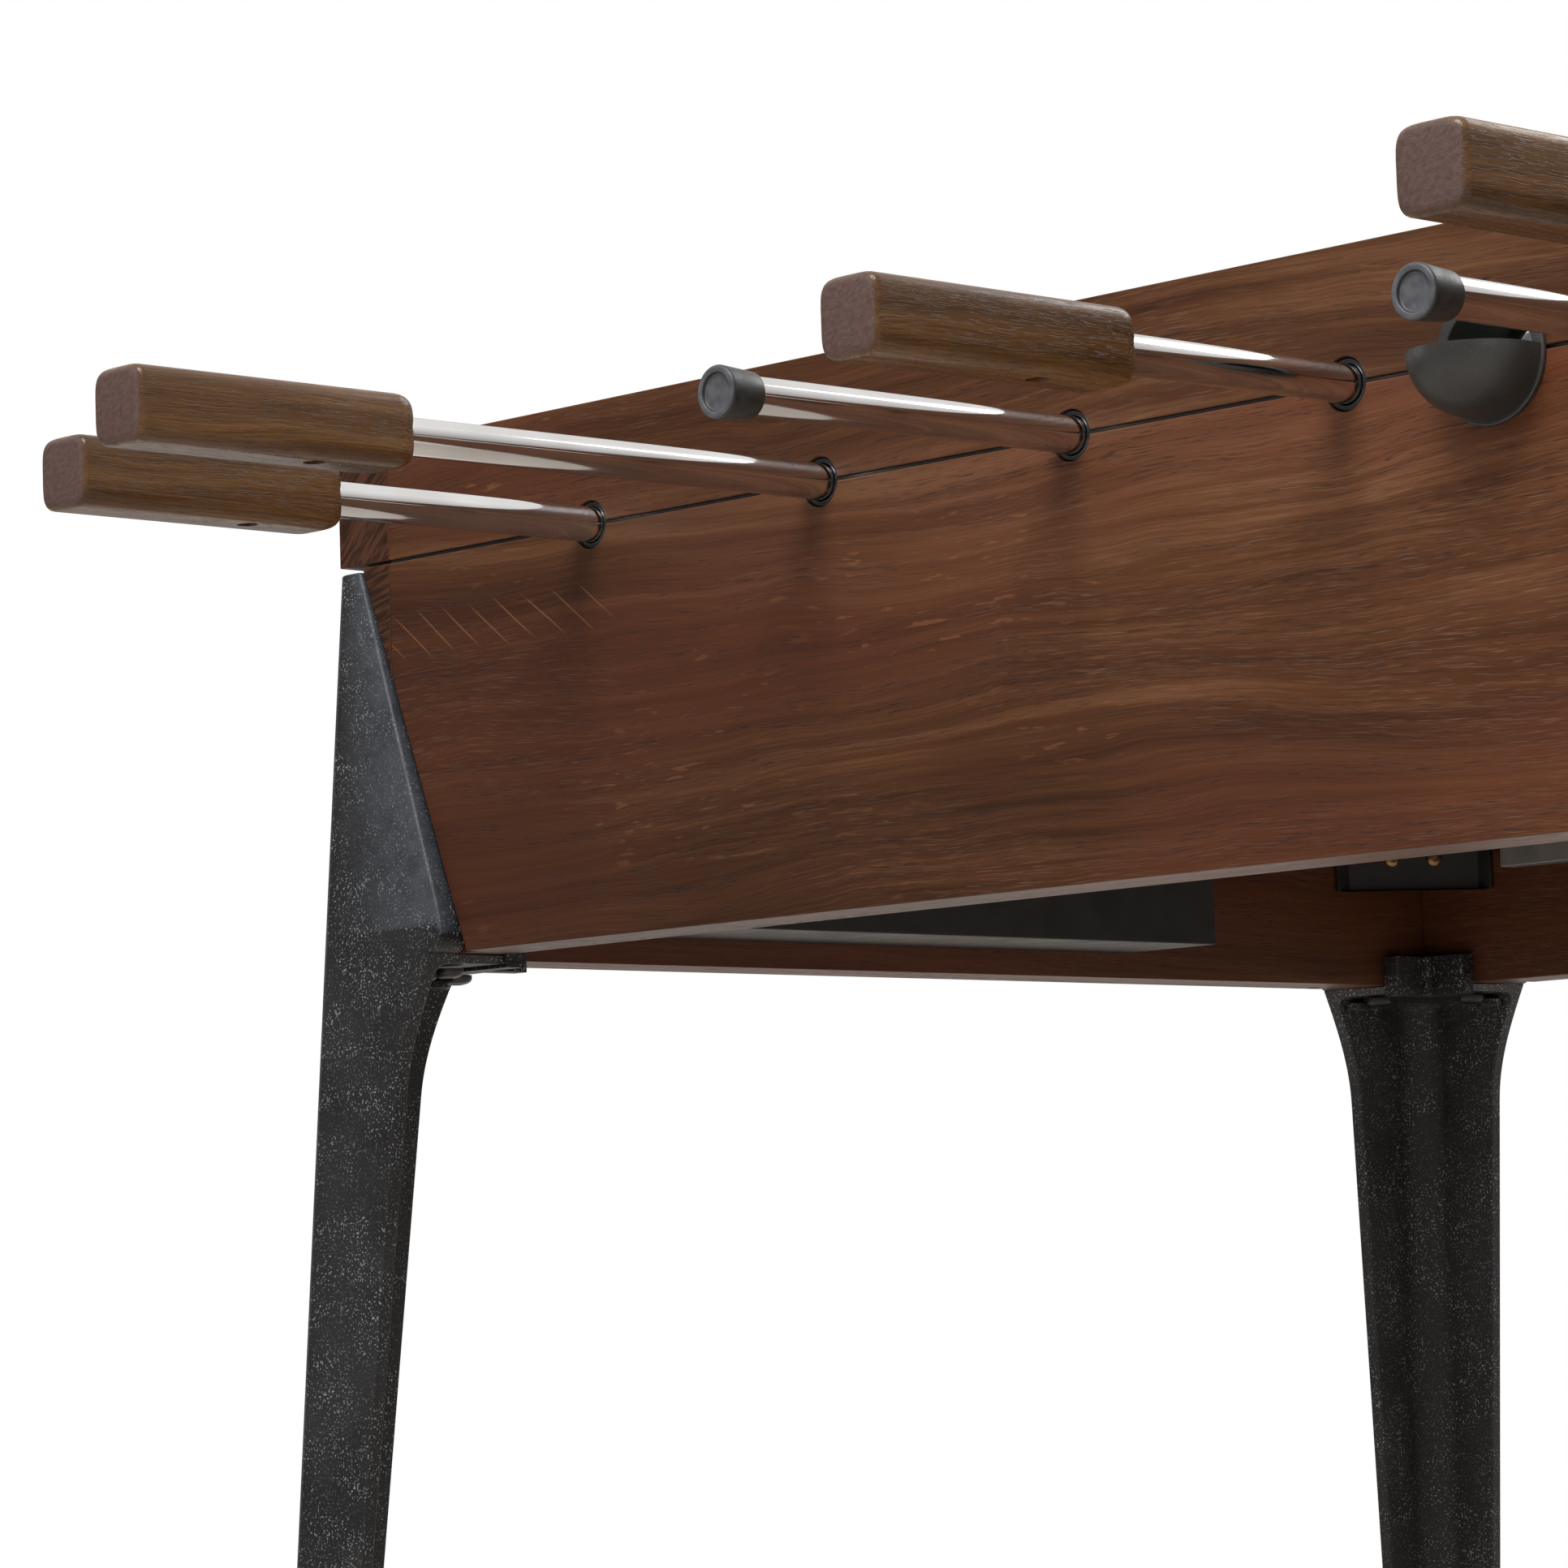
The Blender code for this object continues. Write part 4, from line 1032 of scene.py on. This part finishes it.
def figure_mesh(material):
    """A plain stylised player, about its own rod axis, from sections in millimetres.

    A section is (height, half width, half depth, squareness).
    """
    legs = [(-72.0, 9.8, 8.8, 5.0), (-70.5, 10.9, 10.0, 5.0), (-59.0, 10.9, 11.2, 5.0),
            (-54.0, 9.2, 8.8, 4.0), (-47.0, 7.6, 6.2, 3.5), (-30.0, 8.6, 7.2, 3.2)]
    trunk = [(-13.0, 11.2, 9.8, 3.2), (0.0, 13.0, 11.2, 3.6), (9.0, 14.3, 11.2, 3.6),
             (13.0, 12.0, 9.0, 3.0)]
    head = [(15.5, 6.2, 6.0, 2.4), (18.0, 6.4, 6.6, 2.0), (23.0, 8.2, 8.6, 2.0),
            (28.5, 7.8, 8.2, 2.0), (32.5, 5.0, 5.2, 2.0), (33.8, 1.8, 1.8, 2.0)]
    rings = []
    for z, half_width, half_depth, power in catmull(legs + trunk + head, 3):
        outline = superellipse(half_depth / 1000, half_width / 1000, power, 32)
        rings.append([(x, y, z / 1000) for x, y in outline])
    mesh = mesh_from("player", loft(rings), material)
    shade(mesh, 50)
    return mesh


def grip_ring(inset, y):
    """The handle's section, a square with soft corners and slightly crowned sides."""
    half = HANDLE_SIDE / 2 - inset
    return [(x, y, z) for x, z in superellipse(half, half, GRIP_SQUARENESS, 44, 0.5)]


def handle_mesh():
    """The handle with its rod end at the origin, running towards -Y, with a counterbore underneath."""
    end_round, shoulder, shoulder_drop = 0.0035, 0.009, 0.005
    rings = []
    for k in range(7):
        a = math.pi / 2 * k / 6
        inset = end_round * (1 - math.sin(a))
        rings.append(grip_ring(inset, -HANDLE_LENGTH + end_round * (1 - math.cos(a))))
    rings.append(grip_ring(0.0, -shoulder - 0.0005))
    for k in range(11):
        a = math.pi / 2 * k / 10
        inset = shoulder_drop * (1 - math.cos(a))
        rings.append(grip_ring(inset, -shoulder * (1 - math.sin(a))))
    polar = [math.atan2(z, x) for x, _, z in grip_ring(0.0, 0.0)]
    bore = ROD_RADIUS + 0.0002
    for radius, y in ((bore + 0.0005, 0.0), (bore, -0.0006), (bore, -HANDLE_BORE)):
        rings.append([(radius * math.cos(a), y, radius * math.sin(a)) for a in polar])
    piece = finished("handle_blank", loft(rings), GRIP, rides=None, smooth=40)
    counterbore = round_hole(SCREW_ASIDE, -SCREW_FROM_ROD_END, 0.0045, 24, (-0.020, -0.0125))
    carved(piece, [counterbore], smooth=40)
    mesh = piece.data
    bpy.data.objects.remove(piece, do_unlink=True)
    return mesh


def cap_mesh():
    """The end cap with its closed end at the origin, running towards -Y."""
    mouth = ROD_RADIUS + FIT + CAP_WALL
    wide = mouth + CAP_SPREAD
    sunk, rim = -0.0015, 0.0030
    bore = ROD_RADIUS + 0.0002
    points = [(0.0002, sunk), (wide - rim - 0.0006, sunk), (wide - rim, 0.0), (wide, 0.0)]
    points += [(mouth, -CAP_LENGTH), (bore, -CAP_LENGTH), (bore, -CAP_END_WALL)]
    profile = filleted(points, [0, 0.0007, 0.0008, 0.0018, 0.0007, 0.0003, 0], 5, closed=False)
    mesh = mesh_from("cap", turned(profile), CAP_RUBBER)
    shade(mesh, 50)
    return mesh


def set_down(name, mesh, location, turn, rides, replaces=()):
    """A piece that shares its mesh with others of its kind."""
    piece = bpy.data.objects.new(name, mesh)
    piece.matrix_world = Matrix.Translation(location) @ Matrix.Rotation(math.pi * turn, 4, "Z")
    link(piece)
    bpy.context.view_layer.update()
    attached(piece, rides, replaces)


def bar(n, facing, handle_start, cap_end):
    """The rod itself, from inside its handle to inside its cap, with a goalie rod's stop collars."""
    low_y, high_y = sorted((handle_start - facing * (HANDLE_BORE - SHAFT_SINK),
                            cap_end - facing * (CAP_END_WALL + SHAFT_SINK)))
    tip = ROD_RADIUS - 0.001
    points, radii = [(tip, low_y), (ROD_RADIUS, low_y + 0.001)], [0, 0.0003]
    if MEN_ON_ROD[n - 1] == 1:
        for middle in (-GOALIE_STOP, GOALIE_STOP):
            low = ROD_Y[n - 1] + middle - COLLAR_WIDTH / 2
            high = low + COLLAR_WIDTH
            rise = ROD_RADIUS + COLLAR_RISE
            points += [(ROD_RADIUS, low), (rise, low), (rise, high), (ROD_RADIUS, high)]
            radii += [0.0002, 0.001, 0.001, 0.0002]
    points += [(ROD_RADIUS, high_y - 0.001), (tip, high_y)]
    radii += [0.0003, 0]
    bm = moved(turned(filleted(points, radii, 3, closed=False)), x=ROD_X[n - 1], z=AXIS)
    finished(f"rod_{n}_bar", bm, CHROME, rides=f"rod_{n}", replaces=[f"rod_{n}_shaft"])


def rod(n, meshes):
    """A rod and all that moves with it. Those with the handle in front have the dark players."""
    x, y = ROD_X[n - 1], ROD_Y[n - 1]
    body = f"rod_{n}"
    handle_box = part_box(f"rod_{n}_handle")
    in_front = handle_box[0].y < 0
    turn = not in_front
    facing = 1 if in_front else -1
    start = handle_box[in_front].y
    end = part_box(f"rod_{n}_cap")[in_front].y
    bar(n, facing, start, end)
    set_down(f"rod_{n}_grip", meshes["handle"], (x, start, AXIS), turn, body,
             [f"rod_{n}_handle"])
    screw_spot = (x + facing * SCREW_ASIDE, start - facing * SCREW_FROM_ROD_END, AXIS - SOCKET_DEPTH)
    set_down(f"rod_{n}_grip_screw", meshes["screw"], screw_spot, turn, body)
    set_down(f"rod_{n}_end_cap", meshes["cap"], (x, end, AXIS), turn, body,
             [f"rod_{n}_cap"])
    for label in ("handle_side", "cap_side"):
        low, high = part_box(f"rod_{n}_bumper_{label}")
        middle = (low.y + high.y) / 2
        set_down(f"rod_{n}_sleeve_{label}", meshes["bumper"], (x, middle, AXIS), turn,
                 f"rod_{n}_carriage", [f"rod_{n}_bumper_{label}"])
    count = MEN_ON_ROD[n - 1]
    for k in range(count):
        spot = (x, y + MEN_PITCH[count] * (k - (count - 1) / 2), AXIS)
        player = meshes["dark"] if in_front else meshes["pale"]
        set_down(f"rod_{n}_player_{k + 1}", player, spot, turn, body)


def shared_meshes():
    """The meshes that all rods use."""
    bore, half = ROD_RADIUS + FIT, BUMPER_LENGTH / 2
    bumper = sleeve(bore, bore + BUMPER_WALL, -half, half, 0.0012)
    bumper = finished("sleeve_blank", bumper, BUMPER_RUBBER, rides=None)
    head = screw_head(0.0038, 0.0022)
    bmesh.ops.rotate(head, verts=head.verts, matrix=Matrix.Rotation(math.pi, 3, "X"))
    screw = finished("screw_blank", head, DARK_SCREW, rides=None)
    meshes = {"bumper": bumper.data, "screw": screw.data, "cap": cap_mesh(), "handle": handle_mesh()}
    for blank in (bumper, screw):
        bpy.data.objects.remove(blank, do_unlink=True)
    for label, material in (("dark", TEAM_DARK), ("pale", TEAM_PALE)):
        meshes[label] = figure_mesh(material)
    return meshes


shared = shared_meshes()
for n in RODS:
    rod(n, shared)


# The studio.


def camera():
    """The viewpoint: low, off the table's right front, looking along it through a long lens."""
    yaw, pitch, roll = math.radians(46.148), math.radians(5.465), math.radians(1.871)
    right = Vector((math.cos(yaw), math.sin(yaw), 0.0))
    level = Vector((-math.sin(yaw), math.cos(yaw), 0.0))
    forward = level * math.cos(pitch) + Vector((0.0, 0.0, math.sin(pitch)))
    up = right.cross(forward)
    x_axis = right * math.cos(roll) - up * math.sin(roll)
    y_axis = right * math.sin(roll) + up * math.cos(roll)
    rotation = Matrix((x_axis, y_axis, -forward)).transposed()
    data = bpy.data.cameras.new("photo_camera")
    data.sensor_width = 36.0
    data.lens = 131.198
    data.clip_start = 0.05
    made = bpy.data.objects.new("photo_camera", data)
    made.matrix_world = Matrix.Translation((1.38455, -2.10746, 0.47746)) @ rotation.to_4x4()
    link(made)
    bpy.context.scene.camera = made


def softbox(name, place, target, width, height, watts):
    data = bpy.data.lights.new(name, "AREA")
    data.shape = "RECTANGLE"
    data.size, data.size_y = width, height
    data.energy = watts
    lamp = bpy.data.objects.new(name, data)
    direction = Vector(target) - Vector(place)
    lamp.rotation_euler = direction.to_track_quat("-Z", "Y").to_euler()
    lamp.location = place
    link(lamp)


def surroundings():
    """White to the camera. To all else brighter above, and darker towards the front left."""
    world = bpy.data.worlds.new("studio")
    bpy.context.scene.world = world
    world.use_nodes = True
    world.node_tree.nodes.clear()
    made = Nodes(world.node_tree)
    direction = made.add("ShaderNodeTexCoord", {}).outputs["Generated"]
    front_left = {0: direction, 1: (-0.95, -0.31, 0.0)}
    towards = made.add("ShaderNodeVectorMath", front_left, operation="DOT_PRODUCT").outputs["Value"]
    above = made.ramp(made.parts(direction)[2], 0.0, 0.8, 0.36, 0.95)
    light = made.times(above, made.ramp(towards, 0.72, 0.96, 1.0, 0.35))
    seen = made.add("ShaderNodeLightPath", {}).outputs["Is Camera Ray"]
    strength = made.add("ShaderNodeMix", {0: seen, 2: light, 3: 1.0}, data_type="FLOAT").outputs[0]
    white = {"Color": (1.0, 1.0, 1.0, 1.0), "Strength": strength}
    background = made.add("ShaderNodeBackground", white).outputs[0]
    made.add("ShaderNodeOutputWorld", {"Surface": background})


def floor():
    """A disc, wide enough for the floor's alpha to run out on it."""
    bm = bmesh.new()
    bmesh.ops.create_circle(bm, cap_ends=True, segments=96, radius=6.0)
    mesh = bpy.data.meshes.new("studio_floor")
    bm.to_mesh(mesh)
    bm.free()
    mesh.materials.append(paper_floor())
    made = bpy.data.objects.new("studio_floor", mesh)
    made.location.z = -0.0005
    link(made)


camera()
surroundings()
softbox("key", (0.4, -1.9, 3.3), (0.1, -0.3, 0.75), 1.8, 1.2, 92.0)
softbox("back_fill", (0.4, 2.4, 3.0), (0.0, 0.2, 0.75), 2.0, 1.4, 40.0)
floor()
bpy.context.scene.view_settings.view_transform = "Standard"
